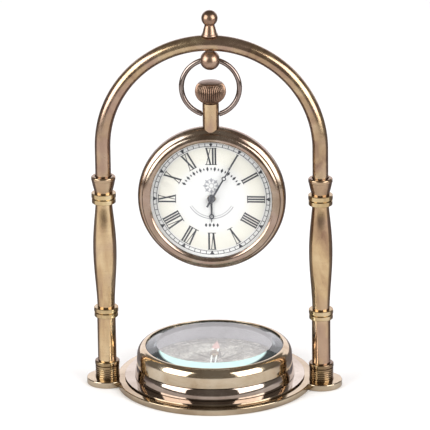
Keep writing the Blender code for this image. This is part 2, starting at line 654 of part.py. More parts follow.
def build_movement(materials, tilt_axis):
    """The quartz movement's fixed pieces, its motion work and the two hands."""
    steel = materials["steel"]
    place = (0, COLUMN_Y, WATCH_Z)
    turn = (math.pi / 2, 0, 0)
    wheel_x = WHEEL_DISTANCE * math.cos(WHEEL_DIRECTION)
    wheel_y = WHEEL_DISTANCE * math.sin(WHEEL_DIRECTION)
    wheel_place = (wheel_x, COLUMN_Y, WATCH_Z + wheel_y)

    outline = [(0, -1.5 * MM), (10.9 * MM, -1.5 * MM), (10.9 * MM, -0.9 * MM)]
    outline += [(POST_RADIUS, -0.9 * MM), (POST_RADIUS, 2.7 * MM), (0, 2.7 * MM)]
    plate = add_watch_solid("movement_plate", outline, steel, tilt_axis, 28)
    shape = rod(SIDE_POST_RADIUS, -1.2 * MM, 0.95 * MM)
    combine(plate, add_cutter("side_post", shape, wheel_place, turn, tilt_axis), "UNION")

    outline = [(0, -2.2 * MM), (10.5 * MM, -2.2 * MM), (10.5 * MM, -1.8 * MM), (0, -1.8 * MM)]
    add_watch_solid("circuit_board", outline, materials["board_green"], tilt_axis, 24)

    battery_place = (-4.4 * MM, COLUMN_Y, WATCH_Z + 3.4 * MM)
    shape = rod(3.4 * MM, -4.2 * MM, -2.5 * MM, 20)
    add_solid("battery", shape, steel, battery_place, turn, tilt_axis)
    strap = in_mm([(-1.2, -5.6), (1.2, -5.6), (1.2, 4.4), (-1.2, 4.4)])
    shape = extruded(strap, -4.9 * MM, -4.5 * MM)
    add_solid("battery_strap", shape, steel, battery_place, turn, tilt_axis)

    outline = [(0, -3.6), (0.95, -3.6), (0.95, -3.2), (0.6, -3.2), (0.6, 3.2), (0.95, 3.2)]
    outline += [(0.95, 3.6), (0, 3.6)]
    coil = turned(in_mm(outline), ROUND_SMALL)
    coil_place = (3.6 * MM, COLUMN_Y + 3.5 * MM, WATCH_Z - 4.2 * MM)
    along_x = (0, math.pi / 2, 0)
    add_solid("coil", coil, materials["copper_wire"], coil_place, along_x, tilt_axis)

    small = WHEEL_DISTANCE * 2 / (PINION_TEETH + MINUTE_WHEEL_TEETH)
    large = WHEEL_DISTANCE * 2 / (PINION_TEETH + HOUR_WHEEL_TEETH)
    back = WHEEL_DIRECTION + math.pi
    outline = gear_outline(PINION_TEETH, small, WHEEL_DIRECTION)
    cannon = add_solid("cannon_pinion", extruded(outline, -0.5 * MM, 0), steel, place, turn, tilt_axis)
    shape = rod(CANNON_RADIUS, -0.3 * MM, 2.95 * MM)
    combine(cannon, add_cutter("cannon_pipe", shape, place, turn, tilt_axis), "UNION")
    shape = rod(POST_RADIUS + RUNNING, -MM, 4 * MM)
    combine(cannon, add_cutter("cannon_bore", shape, place, turn, tilt_axis))

    outline = gear_outline(HOUR_WHEEL_TEETH, large, WHEEL_DIRECTION + math.pi / HOUR_WHEEL_TEETH)
    hour = add_solid("hour_wheel", extruded(outline, 0.3 * MM, 0.65 * MM), steel, place, turn, tilt_axis)
    shape = rod(HOUR_PIPE_RADIUS, 0.4 * MM, 2.3 * MM)
    combine(hour, add_cutter("hour_pipe", shape, place, turn, tilt_axis), "UNION")
    shape = rod(CANNON_RADIUS + RUNNING, -MM, 4 * MM)
    combine(hour, add_cutter("hour_bore", shape, place, turn, tilt_axis))

    outline = gear_outline(MINUTE_WHEEL_TEETH, small, back + math.pi / MINUTE_WHEEL_TEETH)
    shape = extruded(outline, -0.4 * MM, -0.1 * MM)
    wheel = add_solid("minute_wheel", shape, steel, wheel_place, turn, tilt_axis)
    outline = gear_outline(PINION_TEETH, large, back)
    shape = extruded(outline, -0.25 * MM, 0.75 * MM)
    combine(wheel, add_cutter("minute_pinion", shape, wheel_place, turn, tilt_axis), "UNION")
    shape = rod(SIDE_POST_RADIUS + RUNNING, -MM, 2 * MM)
    combine(wheel, add_cutter("minute_wheel_bore", shape, wheel_place, turn, tilt_axis))

    ring_at = 5.9 * MM
    outline = hand_outline(HOUR_HAND_LENGTH, 1.6 * MM, ring_at, 0.8 * MM)
    bore = HOUR_PIPE_RADIUS + 0.1 * MM
    black = materials["hand_black"]
    build_hand("hour_hand", HOUR_HAND_LEVEL, outline, HOUR_HAND_ANGLE, bore, ring_at, black, tilt_axis)
    ring_at = 8.6 * MM
    outline = hand_outline(MINUTE_HAND_LENGTH, 3.0 * MM, ring_at, 0.8 * MM)
    bore = CANNON_RADIUS + 0.2 * MM
    level = MINUTE_HAND_LEVEL
    build_hand("minute_hand", level, outline, MINUTE_HAND_ANGLE, bore, ring_at, black, tilt_axis)


def build_compass(materials):
    """Flange, bowl, bezel, bevelled glass, card, pivot and needle."""
    brass = materials["antique_brass"]
    flange_low = PLATE_THICKNESS + GAP
    flange_top = flange_low + 0.4 * MM
    flange = add_solid("compass_flange", rod(FLANGE_RADIUS, flange_low, flange_top, ROUND_LARGE), brass)

    floor = flange_top + GAP
    outline = [(0, floor), (BOWL_RADIUS, floor), (BOWL_RADIUS - 0.25 * MM, 4.9 * MM)]
    outline += [(COMPASS_BEZEL_RADIUS, 6.5 * MM)]
    outline += in_mm([(24.1, 6.5), (24.1, 10.4), (23.0, 10.4), (23.0, 4.4), (0, 4.4)])
    bowl = add_solid("compass_bowl", turned(outline, ROUND_LARGE), brass)

    wall = COMPASS_BEZEL_RADIUS
    seat = COMPASS_GLASS_RADIUS + GAP
    outline = [(wall - 0.3 * MM, 6.8 * MM), (wall, 7.1 * MM), (wall, 9.6 * MM)]
    outline += [(wall - 0.5 * MM, 11.2 * MM), (wall - 1.4 * MM, 12.5 * MM)]
    outline += [(wall - 2.4 * MM, 13.25 * MM), (seat, 13.4 * MM)]
    outline.append((seat, 11.0 * MM))
    outline += in_mm([(22.3, 11.0), (22.3, 10.7), (24.4, 10.7), (24.4, 6.8)])
    add_solid("compass_bezel", turned(outline, ROUND_LARGE, ring=True), brass)

    top = COMPASS_GLASS_TOP
    radius = COMPASS_GLASS_RADIUS
    outline = [(0, 11.3 * MM), (radius, 11.3 * MM), (radius, 12.9 * MM), (19.9 * MM, top), (0, top)]
    add_solid("compass_glass", turned(outline, ROUND_LARGE), materials["compass_glass_clear"])

    card = tube(CARD_RADIUS, 1.2 * MM, 4.7 * MM, 5.2 * MM, ROUND_LARGE)
    add_solid("compass_card", card, materials["card_brass"])
    outline = in_mm([(0, 4.7), (0.9, 4.7), (0.9, 6.2), (0.35, 6.9), (0.15, 8.3), (0, 8.3)])
    add_solid("compass_pivot", turned(outline, ROUND_SMALL), materials["steel"])

    cap = in_mm([(0, 8.6), (0.5, 8.5), (0.8, 7.2), (1.5, 7.2), (1.5, 8.2), (0.9, 9.0), (0, 9.2)])
    add_solid("needle_cap", turned(cap, ROUND_SMALL), brass)
    half = NEEDLE_HALF_WIDTH
    diamond = [(0, -NEEDLE_HALF_LENGTH), (half, 0), (0, NEEDLE_HALF_LENGTH), (-half, 0)]
    needle = add_solid("compass_needle", extruded(diamond, 7.5 * MM, 7.8 * MM), materials["needle_blue"])
    combine(needle, add_cutter("needle_hole", rod(1.8 * MM, 7 * MM, 9 * MM)))

    for k, (x, y) in enumerate(compass_screw_places()):
        shape = rod(1.1 * MM, flange_low - MM, floor + 0.8 * MM)
        cutter = add_cutter("flange_hole_%d" % (k + 1), shape, (x, y, 0))
        combine(flange, cutter)
        combine(bowl, cutter)
        shape = countersunk_screw(0.8 * MM, 1.8 * MM, floor + 0.5 * MM)
        add_solid("compass_screw_%d" % (k + 1), shape, materials["steel"], (x, y, 0))


def main():
    """Build the whole clock."""
    clear_scene()
    materials = {name: make_material(name) for name in FINISHES}
    bow_axis = add_empty("bow_axis", (0, COLUMN_Y, BALL_Z))
    tilt_axis = add_empty("tilt_axis", (0, COLUMN_Y, BOW_PIN_Z), bow_axis)
    build_base(materials)
    build_columns(materials)
    build_arch(materials)
    build_bow(materials, bow_axis)
    build_case(materials, tilt_axis)
    build_crown(materials, tilt_axis)
    build_movement(materials, tilt_axis)
    build_compass(materials)


main()
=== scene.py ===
import json
import math

import bmesh
import bpy
from mathutils import Matrix, Vector


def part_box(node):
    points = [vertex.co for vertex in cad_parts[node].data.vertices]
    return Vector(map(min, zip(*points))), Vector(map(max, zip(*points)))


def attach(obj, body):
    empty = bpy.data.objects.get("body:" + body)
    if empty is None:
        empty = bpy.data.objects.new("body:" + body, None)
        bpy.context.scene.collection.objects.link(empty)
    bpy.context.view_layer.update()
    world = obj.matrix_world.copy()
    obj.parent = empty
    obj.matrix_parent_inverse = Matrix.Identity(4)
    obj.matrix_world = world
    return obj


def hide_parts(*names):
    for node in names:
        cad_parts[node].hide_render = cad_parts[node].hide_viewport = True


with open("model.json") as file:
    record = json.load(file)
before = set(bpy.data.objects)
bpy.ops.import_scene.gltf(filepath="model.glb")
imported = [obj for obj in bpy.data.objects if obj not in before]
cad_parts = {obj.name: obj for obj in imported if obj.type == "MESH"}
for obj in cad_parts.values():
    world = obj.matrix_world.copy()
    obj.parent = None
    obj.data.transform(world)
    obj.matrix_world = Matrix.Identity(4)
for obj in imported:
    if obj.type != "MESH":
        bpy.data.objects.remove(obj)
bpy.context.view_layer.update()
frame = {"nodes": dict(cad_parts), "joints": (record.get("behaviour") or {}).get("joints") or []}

MM = 0.001
ROUND = 128  # segments of a round piece, where a call doesn't say otherwise
FINE_ROUND = 160  # segments of the widest pieces
SHARP = 32  # degrees between two faces from which their edge stays sharp
GAP_FILL = 0.14 * MM  # how far a column's piece grows into the gap to the next one
SEAT = 0.02 * MM  # gap left under a piece that stands on another
COLUMN_BORE = 1.55 * MM  # radius of the hole for a tie rod
BEVEL = 0.12 * MM  # fillet of the small edges on the columns
STAGGER = 0.002 * MM  # height between strokes that cross, so that they don't flicker


# ---------------------------------------------------------------- places from the frame
def middle(node):
    """Centre of a CAD node's box."""
    low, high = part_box(node)
    return (low + high) / 2


def half_width(node):
    """Half of a CAD node's size along X."""
    low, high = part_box(node)
    return (high.x - low.x) / 2


JOINTS = {joint["name"]: joint for joint in frame["joints"]}
WATCH = Vector(JOINTS["minute_hand_turn"]["pos_m"])
BALL = Vector(JOINTS["bow_swing"]["pos_m"])
PINS = Vector(JOINTS["watch_tilt"]["pos_m"])
COLUMN_Y = WATCH.y
COLUMN_X = middle("baluster_right").x
BAR_RADIUS = half_width("arch_bar") - COLUMN_X
ARCH_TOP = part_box("arch_bar")[1].z - BAR_RADIUS
ARCH_CENTRE_Z = ARCH_TOP - COLUMN_X
PLATE_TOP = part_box("base_plate")[1].z


# ---------------------------------------------------------------- node material helpers
class Nodes:
    """Short calls for building a node material."""

    def __init__(self, name):
        self.material = bpy.data.materials.new(name)
        self.material.use_nodes = True
        self.tree = self.material.node_tree
        self.shader = self.tree.nodes["Principled BSDF"]
        self.output = self.tree.nodes["Material Output"]
        coordinates = self.tree.nodes.new("ShaderNodeTexCoord")
        self.place = coordinates.outputs["Object"]

    def link(self, source, target):
        self.tree.links.new(source, target)

    def new(self, kind, **settings):
        node = self.tree.nodes.new(kind)
        for key, value in settings.items():
            setattr(node, key, value)
        return node

    def moved(self, scale, offset=(0, 0, 0)):
        """Object coordinates scaled per axis, after an offset."""
        node = self.new("ShaderNodeMapping")
        self.link(self.place, node.inputs["Vector"])
        node.inputs["Location"].default_value = tuple(o * s for o, s in zip(offset, scale))
        node.inputs["Scale"].default_value = scale
        return node.outputs["Vector"]

    def noise(self, vector, scale, detail=4.0, rough=0.55, distortion=0.0):
        node = self.new("ShaderNodeTexNoise")
        self.link(vector, node.inputs["Vector"])
        node.inputs["Scale"].default_value = scale
        node.inputs["Detail"].default_value = detail
        node.inputs["Roughness"].default_value = rough
        node.inputs["Distortion"].default_value = distortion
        return node.outputs["Fac"]

    def math(self, operation, first, second=None, third=None):
        node = self.new("ShaderNodeMath", operation=operation)
        for slot, value in enumerate((first, second, third)):
            if value is None:
                continue
            if isinstance(value, (int, float)):
                node.inputs[slot].default_value = value
            else:
                self.link(value, node.inputs[slot])
        return node.outputs[0]

    def ramp(self, factor, stops):
        node = self.new("ShaderNodeValToRGB")
        elements = node.color_ramp.elements
        elements[0].position, elements[0].color = stops[0][0], (*stops[0][1], 1)
        elements[1].position, elements[1].color = stops[-1][0], (*stops[-1][1], 1)
        for position, colour in stops[1:-1]:
            element = elements.new(position)
            element.color = (*colour, 1)
        self.link(factor, node.inputs["Fac"])
        return node.outputs["Color"]

    def range(self, value, low, high, to_low, to_high):
        node = self.new("ShaderNodeMapRange")
        self.link(value, node.inputs["Value"])
        numbers = {"From Min": low, "From Max": high, "To Min": to_low, "To Max": to_high}
        for name, number in numbers.items():
            node.inputs[name].default_value = number
        return node.outputs["Result"]

    def mix(self, factor, first, second, blend="MIX"):
        node = self.new("ShaderNodeMix", data_type="RGBA", blend_type=blend)
        for name, value in (("Factor", factor), ("A", first), ("B", second)):
            kind = "VALUE" if name == "Factor" else "RGBA"
            socket = next(s for s in node.inputs if s.name == name and s.type == kind)
            if isinstance(value, (int, float)):
                socket.default_value = value
            elif isinstance(value, tuple):
                socket.default_value = (*value, 1)
            else:
                self.link(value, socket)
        return next(s for s in node.outputs if s.type == "RGBA")

    def split(self, vector):
        """The X, Y and Z of a vector, by name."""
        node = self.new("ShaderNodeSeparateXYZ")
        self.link(vector, node.inputs[0])
        return node.outputs

    def length(self, first, second):
        """Length of a flat vector from its two parts."""
        square = self.math("MULTIPLY", first, first)
        return self.math("SQRT", self.math("MULTIPLY_ADD", second, second, square))

    def bump(self, height, strength, distance):
        node = self.new("ShaderNodeBump")
        node.inputs["Strength"].default_value = strength
        node.inputs["Distance"].default_value = distance
        self.link(height, node.inputs["Height"])
        self.link(node.outputs["Normal"], self.shader.inputs["Normal"])

    def set(self, **values):
        for name, value in values.items():
            self.shader.inputs[name.replace("_", " ")].default_value = value

    def colour(self, socket):
        self.link(socket, self.shader.inputs["Base Color"])

    def roughness(self, socket):
        self.link(socket, self.shader.inputs["Roughness"])


def turning_lines(nodes, axis, pitch):
    """Noise that runs in rings round an axis, as fine marks from a lathe."""
    if axis == "column":
        return nodes.noise(nodes.moved((8, 8, 1 / pitch)), 1.0, 2.0)
    centre, second, height = ((0, 0, 0), "Y", "Z") if axis == "z" else (WATCH, "Z", "Y")
    parts = nodes.split(nodes.moved((1, 1, 1), tuple(-c for c in centre)))
    radius = nodes.length(parts["X"], parts[second])
    joined = nodes.new("ShaderNodeCombineXYZ")
    nodes.link(nodes.math("MULTIPLY", radius, 1 / pitch), joined.inputs["X"])
    nodes.link(nodes.math("MULTIPLY", parts[height], 1 / pitch), joined.inputs["Y"])
    return nodes.noise(joined.outputs[0], 1.0, 2.0)


# Colour of the pink patches, and the painted shade of metal seen at a grazing angle.
BLUSH = (0.40, 0.27, 0.225)
LIMB_SHADE = (0.13, 0.085, 0.065)


def brass(name, tones, rough=(0.10, 0.24), axis="z", line_strength=0.008, patch=130.0, blush=0.2,
          limb=0.0):
    """Aged brass: patina tones in patches, a pink blush, dark specks, turning lines, painted shade on the
    limbs.
    """
    nodes = Nodes(name)
    low, body, high = tones
    stretched = (1, 1, 0.35) if axis == "column" else (1, 1, 1)
    patches = nodes.noise(nodes.moved(stretched), patch, 5.0, 0.6, 0.6)
    specks = nodes.noise(nodes.place, patch * 9, 3.0, 0.65)
    lines = turning_lines(nodes, axis, 0.16 * MM)
    tone = nodes.ramp(patches, [(0.30, low), (0.50, body), (0.72, high)])
    warmth = nodes.noise(nodes.moved(stretched, (0.3, 0.7, 0.1)), patch * 0.6, 3.0, 0.5, 0.8)
    tone = nodes.mix(nodes.range(warmth, 0.46, 0.60, 0.0, blush), tone, BLUSH)
    speck_share = nodes.range(specks, 0.62, 0.76, 0.0, 0.40)
    tone = nodes.mix(speck_share, tone, tuple(c * 0.45 for c in low))
    tone = nodes.mix(nodes.range(lines, 0.35, 0.7, 0.0, 0.16), tone, low)
    # Painted shade: the colour darkens towards the limbs, where the metal is seen at a grazing angle.
    facing = nodes.new("ShaderNodeLayerWeight")
    facing.inputs["Blend"].default_value = 0.5
    nodes.colour(nodes.mix(nodes.range(facing.outputs["Facing"], 0.45, 0.85, 0.0, limb), tone, LIMB_SHADE))
    grime = nodes.range(patches, 0.3, 0.7, rough[0], rough[1])
    grime = nodes.math("ADD", grime, nodes.math("MULTIPLY", speck_share, 0.25))
    nodes.roughness(nodes.math("ADD", grime, nodes.range(lines, 0.3, 0.7, -0.02, 0.05)))
    height = nodes.math("ADD", nodes.math("MULTIPLY", lines, 0.6), nodes.math("MULTIPLY", specks, 0.2))
    nodes.bump(height, line_strength, 0.02 * MM)
    nodes.set(Metallic=1.0)
    return nodes.material


def plain(name, colour, rough, metallic=0.0, variation=0.12, scale=300.0, bump=0.05, **extra):
    """A quiet finish whose colour, gloss and surface still vary a little."""
    nodes = Nodes(name)
    cloud = nodes.noise(nodes.place, scale, 4.0)
    dark = tuple(c * (1 - variation) for c in colour)
    light = tuple(min(1.0, c * (1 + variation)) for c in colour)
    nodes.colour(nodes.ramp(cloud, [(0.3, dark), (0.7, light)]))
    nodes.roughness(nodes.range(cloud, 0.3, 0.7, rough * 0.85, min(1.0, rough * 1.15)))
    nodes.bump(nodes.noise(nodes.place, scale * 8, 2.0), bump, 0.02 * MM)
    nodes.set(Metallic=metallic, **extra)
    return nodes.material


def glass(name, tint, rough_noise, ior=1.5):
    """Clear glass that lets lamplight through to what is behind it."""
    nodes = Nodes(name)
    nodes.set(Roughness=0.0, IOR=ior)
    nodes.shader.inputs["Transmission Weight"].default_value = 1.0
    nodes.shader.inputs["Base Color"].default_value = (*tint, 1)
    smears = nodes.noise(nodes.place, 180.0, 3.0, 0.6, 1.0)
    nodes.roughness(nodes.range(smears, 0.45, 0.75, 0.0, rough_noise))
    path = nodes.new("ShaderNodeLightPath")
    clear = nodes.new("ShaderNodeBsdfTransparent")
    clear.inputs["Color"].default_value = (*tint, 1)
    mixer = nodes.new("ShaderNodeMixShader")
    nodes.link(path.outputs["Is Shadow Ray"], mixer.inputs["Fac"])
    nodes.link(nodes.shader.outputs[0], mixer.inputs[1])
    nodes.link(clear.outputs[0], mixer.inputs[2])
    nodes.link(mixer.outputs[0], nodes.output.inputs["Surface"])
    return nodes.material


def dial_material():
    """White dial with a warm ring under the numerals, a painted lighter rim against the bezel's shade, and
    a very fine grain.
    """
    nodes = Nodes("dial_face")
    parts = nodes.split(nodes.moved((1, 1, 1), (-WATCH.x, -WATCH.y, -WATCH.z)))
    share = nodes.range(nodes.length(parts["X"], parts["Z"]), 0.0, 21 * MM, 0.0, 1.0)
    white = (0.57, 0.57, 0.565)
    cream = (0.57, 0.555, 0.50)
    # Painted light: this lighter tone at the rim offsets the shade that the bezel casts there.
    edge = (0.70, 0.70, 0.69)
    stops = [(0.0, white), (0.50, white), (0.66, cream), (0.84, cream), (0.88, white), (0.93, edge)]
    cloud = nodes.noise(nodes.place, 260.0, 4.0)
    stain = nodes.range(cloud, 0.45, 0.75, 0.0, 0.10)
    nodes.colour(nodes.mix(stain, nodes.ramp(share, stops), (0.53, 0.505, 0.44)))
    nodes.roughness(nodes.range(cloud, 0.3, 0.7, 0.35, 0.5))
    nodes.bump(nodes.noise(nodes.place, 5000.0, 2.0), 0.03, 0.01 * MM)
    return nodes.material


def card_material():
    """Silvered brass card covered in fine dark engraving."""
    nodes = Nodes("card_face")
    cloud = nodes.noise(nodes.place, 160.0, 5.0, 0.6, 0.5)
    ornament = nodes.noise(nodes.place, 1800.0, 2.0, 0.5, 0.6)
    cloud = nodes.math("ADD", nodes.math("MULTIPLY", cloud, 0.4), nodes.math("MULTIPLY", ornament, 0.6))
    stops = [(0.38, (0.06, 0.045, 0.04)), (0.50, (0.36, 0.31, 0.27)), (0.60, (0.85, 0.78, 0.72))]
    lines = turning_lines(nodes, "z", 0.12 * MM)
    line_share = nodes.range(lines, 0.35, 0.7, 0.0, 0.25)
    nodes.colour(nodes.mix(line_share, nodes.ramp(cloud, stops), (0.36, 0.27, 0.17)))
    nodes.roughness(nodes.range(cloud, 0.3, 0.7, 0.30, 0.45))
    nodes.bump(lines, 0.15, 0.02 * MM)
    nodes.set(Metallic=0.35)
    return nodes.material


def bevel_material():
    """Bevel of thick glass: a painted bright, pale crescent of light towards the front, grey-green
    elsewhere.
    """
    nodes = Nodes("glass_bevel")
    parts = nodes.split(nodes.moved((1, 1, 1), (0.0, 5.6 * MM, 0.0)))
    inside = nodes.range(nodes.length(parts["X"], parts["Y"]), 18.2 * MM, 18.9 * MM, 1.0, 0.0)
    ahead = nodes.range(parts["Y"], -2.0 * MM, -3.2 * MM, 0.0, 1.0)
    # Painted light: the mask of the front crescent, where the bevel is coloured near white and made
    # opaque.
    front = nodes.math("MULTIPLY", inside, ahead)
    cloud = nodes.noise(nodes.place, 300.0, 3.0)
    bright = nodes.ramp(cloud, [(0.3, (0.66, 0.93, 0.90)), (0.7, (0.74, 0.98, 0.955))])
    grey = nodes.ramp(cloud, [(0.3, (0.20, 0.26, 0.28)), (0.7, (0.38, 0.44, 0.46))])
    nodes.colour(nodes.mix(front, grey, bright))
    nodes.set(Roughness=0.05, IOR=1.5)
    nodes.link(nodes.range(front, 0.0, 1.0, 0.85, 0.0), nodes.shader.inputs["Transmission Weight"])
    return nodes.material


def floor_material():
    """Pale sheet; in what the metal mirrors of it, painted shade darkens it, more so behind the clock."""
    nodes = Nodes("pale_floor")
    parts = nodes.split(nodes.place)
    # Painted shade, seen only in reflections: the floor darkens towards the back, most behind and under
    # the clock.
    shift = nodes.range(nodes.math("ABSOLUTE", parts["X"]), 0.024, 0.034, 0.0, 0.026)
    depth = nodes.range(nodes.math("SUBTRACT", parts["Y"], shift), -0.036, -0.008, 0.0, 1.0)
    painted_mirror_shade = nodes.ramp(depth, [(0.0, (0.80, 0.79, 0.80)), (1.0, (0.20, 0.185, 0.20))])
    path = nodes.new("ShaderNodeLightPath")
    nodes.colour(nodes.mix(path.outputs["Is Camera Ray"], painted_mirror_shade, (0.96, 0.96, 0.965)))
    nodes.set(Roughness=1.0)
    nodes.shader.inputs["Specular IOR Level"].default_value = 0.0
    return nodes.material


# Dark, middle and light tone of each brass.
OLIVE = ((0.28, 0.17, 0.11), (0.59, 0.42, 0.235), (0.80, 0.635, 0.39))
YELLOW = ((0.40, 0.28, 0.14), (0.64, 0.49, 0.27), (0.80, 0.67, 0.43))
SOOTED = ((0.10, 0.065, 0.035), (0.24, 0.165, 0.085), (0.50, 0.38, 0.21))
BROWNED = ((0.23, 0.145, 0.10), (0.43, 0.30, 0.19), (0.60, 0.46, 0.30))
BENT = ((0.25, 0.155, 0.11), (0.46, 0.325, 0.195), (0.64, 0.50, 0.31))
CASED = ((0.28, 0.20, 0.14), (0.40, 0.31, 0.23), (0.54, 0.455, 0.38))
COPPERY = ((0.22, 0.13, 0.09), (0.34, 0.22, 0.15), (0.46, 0.335, 0.255))
GREYED = ((0.41, 0.345, 0.28), (0.51, 0.445, 0.38), (0.61, 0.55, 0.48))
SMOKED = ((0.17, 0.13, 0.115), (0.28, 0.23, 0.205), (0.39, 0.335, 0.30))
PLATED = ((0.34, 0.255, 0.165), (0.48, 0.39, 0.275), (0.59, 0.50, 0.375))
RIMMED = ((0.42, 0.31, 0.20), (0.55, 0.45, 0.32), (0.64, 0.555, 0.43))
DIMMED = ((0.26, 0.195, 0.155), (0.37, 0.30, 0.25), (0.52, 0.455, 0.40))

MATERIALS = {
    "column": brass("column_brass", OLIVE, (0.09, 0.20), "column", blush=0.6, limb=0.75),
    "cup": brass("cup_brass", BROWNED, (0.10, 0.20), "column", blush=0.6, limb=0.75),
    "ring": brass("ring_brass", YELLOW, (0.08, 0.18), "column", limb=0.75),
    "foot": brass("foot_brass", SOOTED, (0.10, 0.20), "column", limb=0.7),
    "turned": brass("turned_brass", OLIVE, line_strength=0.06),
    "bowl": brass("bowl_brass", DIMMED, (0.04, 0.09), line_strength=0.006, patch=60.0, blush=0.0),
    "bezel": brass("bezel_brass", RIMMED, (0.08, 0.14), line_strength=0.006, patch=90.0, blush=0.0),
    "flange": brass("flange_brass", GREYED, (0.04, 0.10), line_strength=0.006, patch=60.0, blush=0.0),
    "base": brass("base_brass", PLATED, (0.05, 0.11), line_strength=0.006, patch=60.0, blush=0.0),
    "watch": brass("watch_brass", CASED, (0.11, 0.22), "watch", blush=0.5, limb=0.5),
    "bent": brass("bar_brass", BENT, (0.14, 0.26), line_strength=0.02, blush=0.6, limb=0.75),
    "copper": brass("coppery_brass", COPPERY, (0.24, 0.36), line_strength=0.02, limb=0.6),
    "wire": brass("wire_brass", SMOKED, (0.10, 0.20), line_strength=0.02, limb=0.6),
    # Dark patina and painted shade in the crown's flute valleys; painted shade on the ball's collar.
    "patina_and_shade": plain("patina_and_painted_shade", (0.085, 0.048, 0.028), 0.6, 0.3),
    "steel": plain("steel", (0.56, 0.56, 0.57), 0.28, 1.0),
    "hands": plain("hand_enamel", (0.045, 0.047, 0.055), 0.35),
    "ink": plain("dial_ink", (0.035, 0.037, 0.045), 0.55),
    "faint_ink": plain("faint_ink", (0.26, 0.26, 0.28), 0.6),
    "plastic": plain("movement_plastic", (0.78, 0.78, 0.76), 0.45),
    "board": plain("circuit_board", (0.03, 0.20, 0.10), 0.40),
    "copper_wire": plain("winding", (0.70, 0.30, 0.16), 0.30, 1.0),
    "cell": plain("cell_case", (0.66, 0.66, 0.67), 0.22, 1.0),
    "needle_red": plain("needle_red", (0.54, 0.28, 0.25), 0.45),
    "needle_pale": plain("needle_pale", (0.86, 0.84, 0.82), 0.35, 0.3),
    # Painted shade for the inside of the compass bowl and bezel.
    "recess_shade": plain("painted_recess_shade", (0.31, 0.275, 0.305), 0.5),
    "engraving": plain("engraving_fill", (0.10, 0.075, 0.05), 0.5),
    "crystal": glass("crystal_glass", (0.985, 0.99, 0.99), 0.01, 1.25),
    "compass_glass": glass("compass_glass", (0.93, 0.975, 0.965), 0.02),
    "bevel": bevel_material(),
    "dial": dial_material(),
    "card": card_material(),
    "floor": floor_material(),
}


# ---------------------------------------------------------------- mesh helpers
def make(name, shape, finish, body, stands_for=(), slot=None, smooth=True, sharp=SHARP):
    """A finished piece from (vertices, faces) in the frame's metres."""
    vertices, faces = shape
    mesh = bpy.data.meshes.new(name)
    mesh.from_pydata([tuple(v) for v in vertices], [], faces)
    cleaner = bmesh.new()
    cleaner.from_mesh(mesh)
    bmesh.ops.recalc_face_normals(cleaner, faces=cleaner.faces)
    cleaner.to_mesh(mesh)
    cleaner.free()
    if smooth:
        mesh.shade_smooth()
        mesh.set_sharp_from_angle(angle=math.radians(sharp))
    mesh.materials.append(MATERIALS[finish])
    piece = bpy.data.objects.new(name, mesh)
    bpy.context.scene.collection.objects.link(piece)
    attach(piece, body)
    if stands_for:
        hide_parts(*stands_for)
    return piece


def refine(node, shape, finish, body, slot, **options):
    """A finished piece that takes the place of one CAD node."""
    return make("fine_" + node, shape, finish, body, [node], slot, **options)


def soften(outline, closed=False, steps=5):
    """Round the corners of an outline. A point is (radius, height) or (radius, height, fillet)."""
    points = [Vector(point[:2]) for point in outline]
    fillets = [point[2] if len(point) > 2 else 0.0 for point in outline]
    count = len(points)
    result = []
    for k, point in enumerate(points):
        inside = closed or 0 < k < count - 1
        if not inside or fillets[k] <= 0:
            result.append(tuple(point))
            continue
        before = points[k - 1] - point
        after = points[(k + 1) % count] - point
        start = point + before.normalized() * min(fillets[k], before.length * 0.49)
        end = point + after.normalized() * min(fillets[k], after.length * 0.49)
        for step in range(steps + 1):
            t = step / steps
            result.append(tuple(start * (1 - t) ** 2 + point * 2 * t * (1 - t) + end * t * t))
    return result


def in_mm(points, scale=1.0):
    """Points given in millimetres, as metres."""
    return [tuple(v * MM * scale for v in point) for point in points]


def rotated(points, degrees):
    """Flat points turned about the origin."""
    turn = math.radians(degrees)
    cosine, sine = math.cos(turn), math.sin(turn)
    return [(x * cosine - y * sine, x * sine + y * cosine) for x, y in points]


def turned(outline, centre=(0, 0), segments=ROUND, ring=False, shift=None):
    """Revolve an outline about a vertical axis; shift(angle, radius, height) moves a radius."""
    vertices = []
    loops = []
    for radius, height in outline:
        count = 1 if radius == 0 else segments
        loops.append([len(vertices) + k for k in range(count)])
        for k in range(count):
            angle = 2 * math.pi * k / segments
            reach = radius + (shift(angle, radius, height) if shift and radius else 0)
            x, y = reach * math.cos(angle), reach * math.sin(angle)
            vertices.append((centre[0] + x, centre[1] + y, height))
    pairs = list(zip(loops, loops[1:]))
    if ring:
        pairs.append((loops[-1], loops[0]))
    faces = []
    for low, high in pairs:
        for k in range(segments):
            step = (k + 1) % segments
            corners = [low[k % len(low)], low[step % len(low)]]
            corners += [high[step % len(high)], high[k % len(high)]]
            faces.append(list(dict.fromkeys(corners)))
    return vertices, faces


def walled(count, levels):
    """Faces of a solid made of equal loops, closed by its first and last loop."""
    last = (levels - 1) * count
    faces = [list(range(count))[::-1], list(range(last, last + count))]
    for base in range(0, last, count):
        for k in range(count):
            step = (k + 1) % count
            faces.append([base + k, base + step, base + count + step, base + count + k])
    return faces


def to_watch(shape):
    """Turn a shape built on +Z so that it lies on the watch's axis and faces the front."""
    vertices, faces = shape
    return [(WATCH.x + x, WATCH.y - z, WATCH.z + y) for x, y, z in vertices], faces


def extruded(outline, bottom, top):
    """A flat plate from an outline of (x, y) points."""
    vertices = [(x, y, height) for height in (bottom, top) for x, y in outline]
    return vertices, walled(len(outline), 2)


def merged(shapes):
    """Several shapes as one list of vertices and faces."""
    vertices = []
    faces = []
    for shape_vertices, shape_faces in shapes:
        start = len(vertices)
        vertices += list(shape_vertices)
        faces += [[start + corner for corner in face] for face in shape_faces]
    return vertices, faces


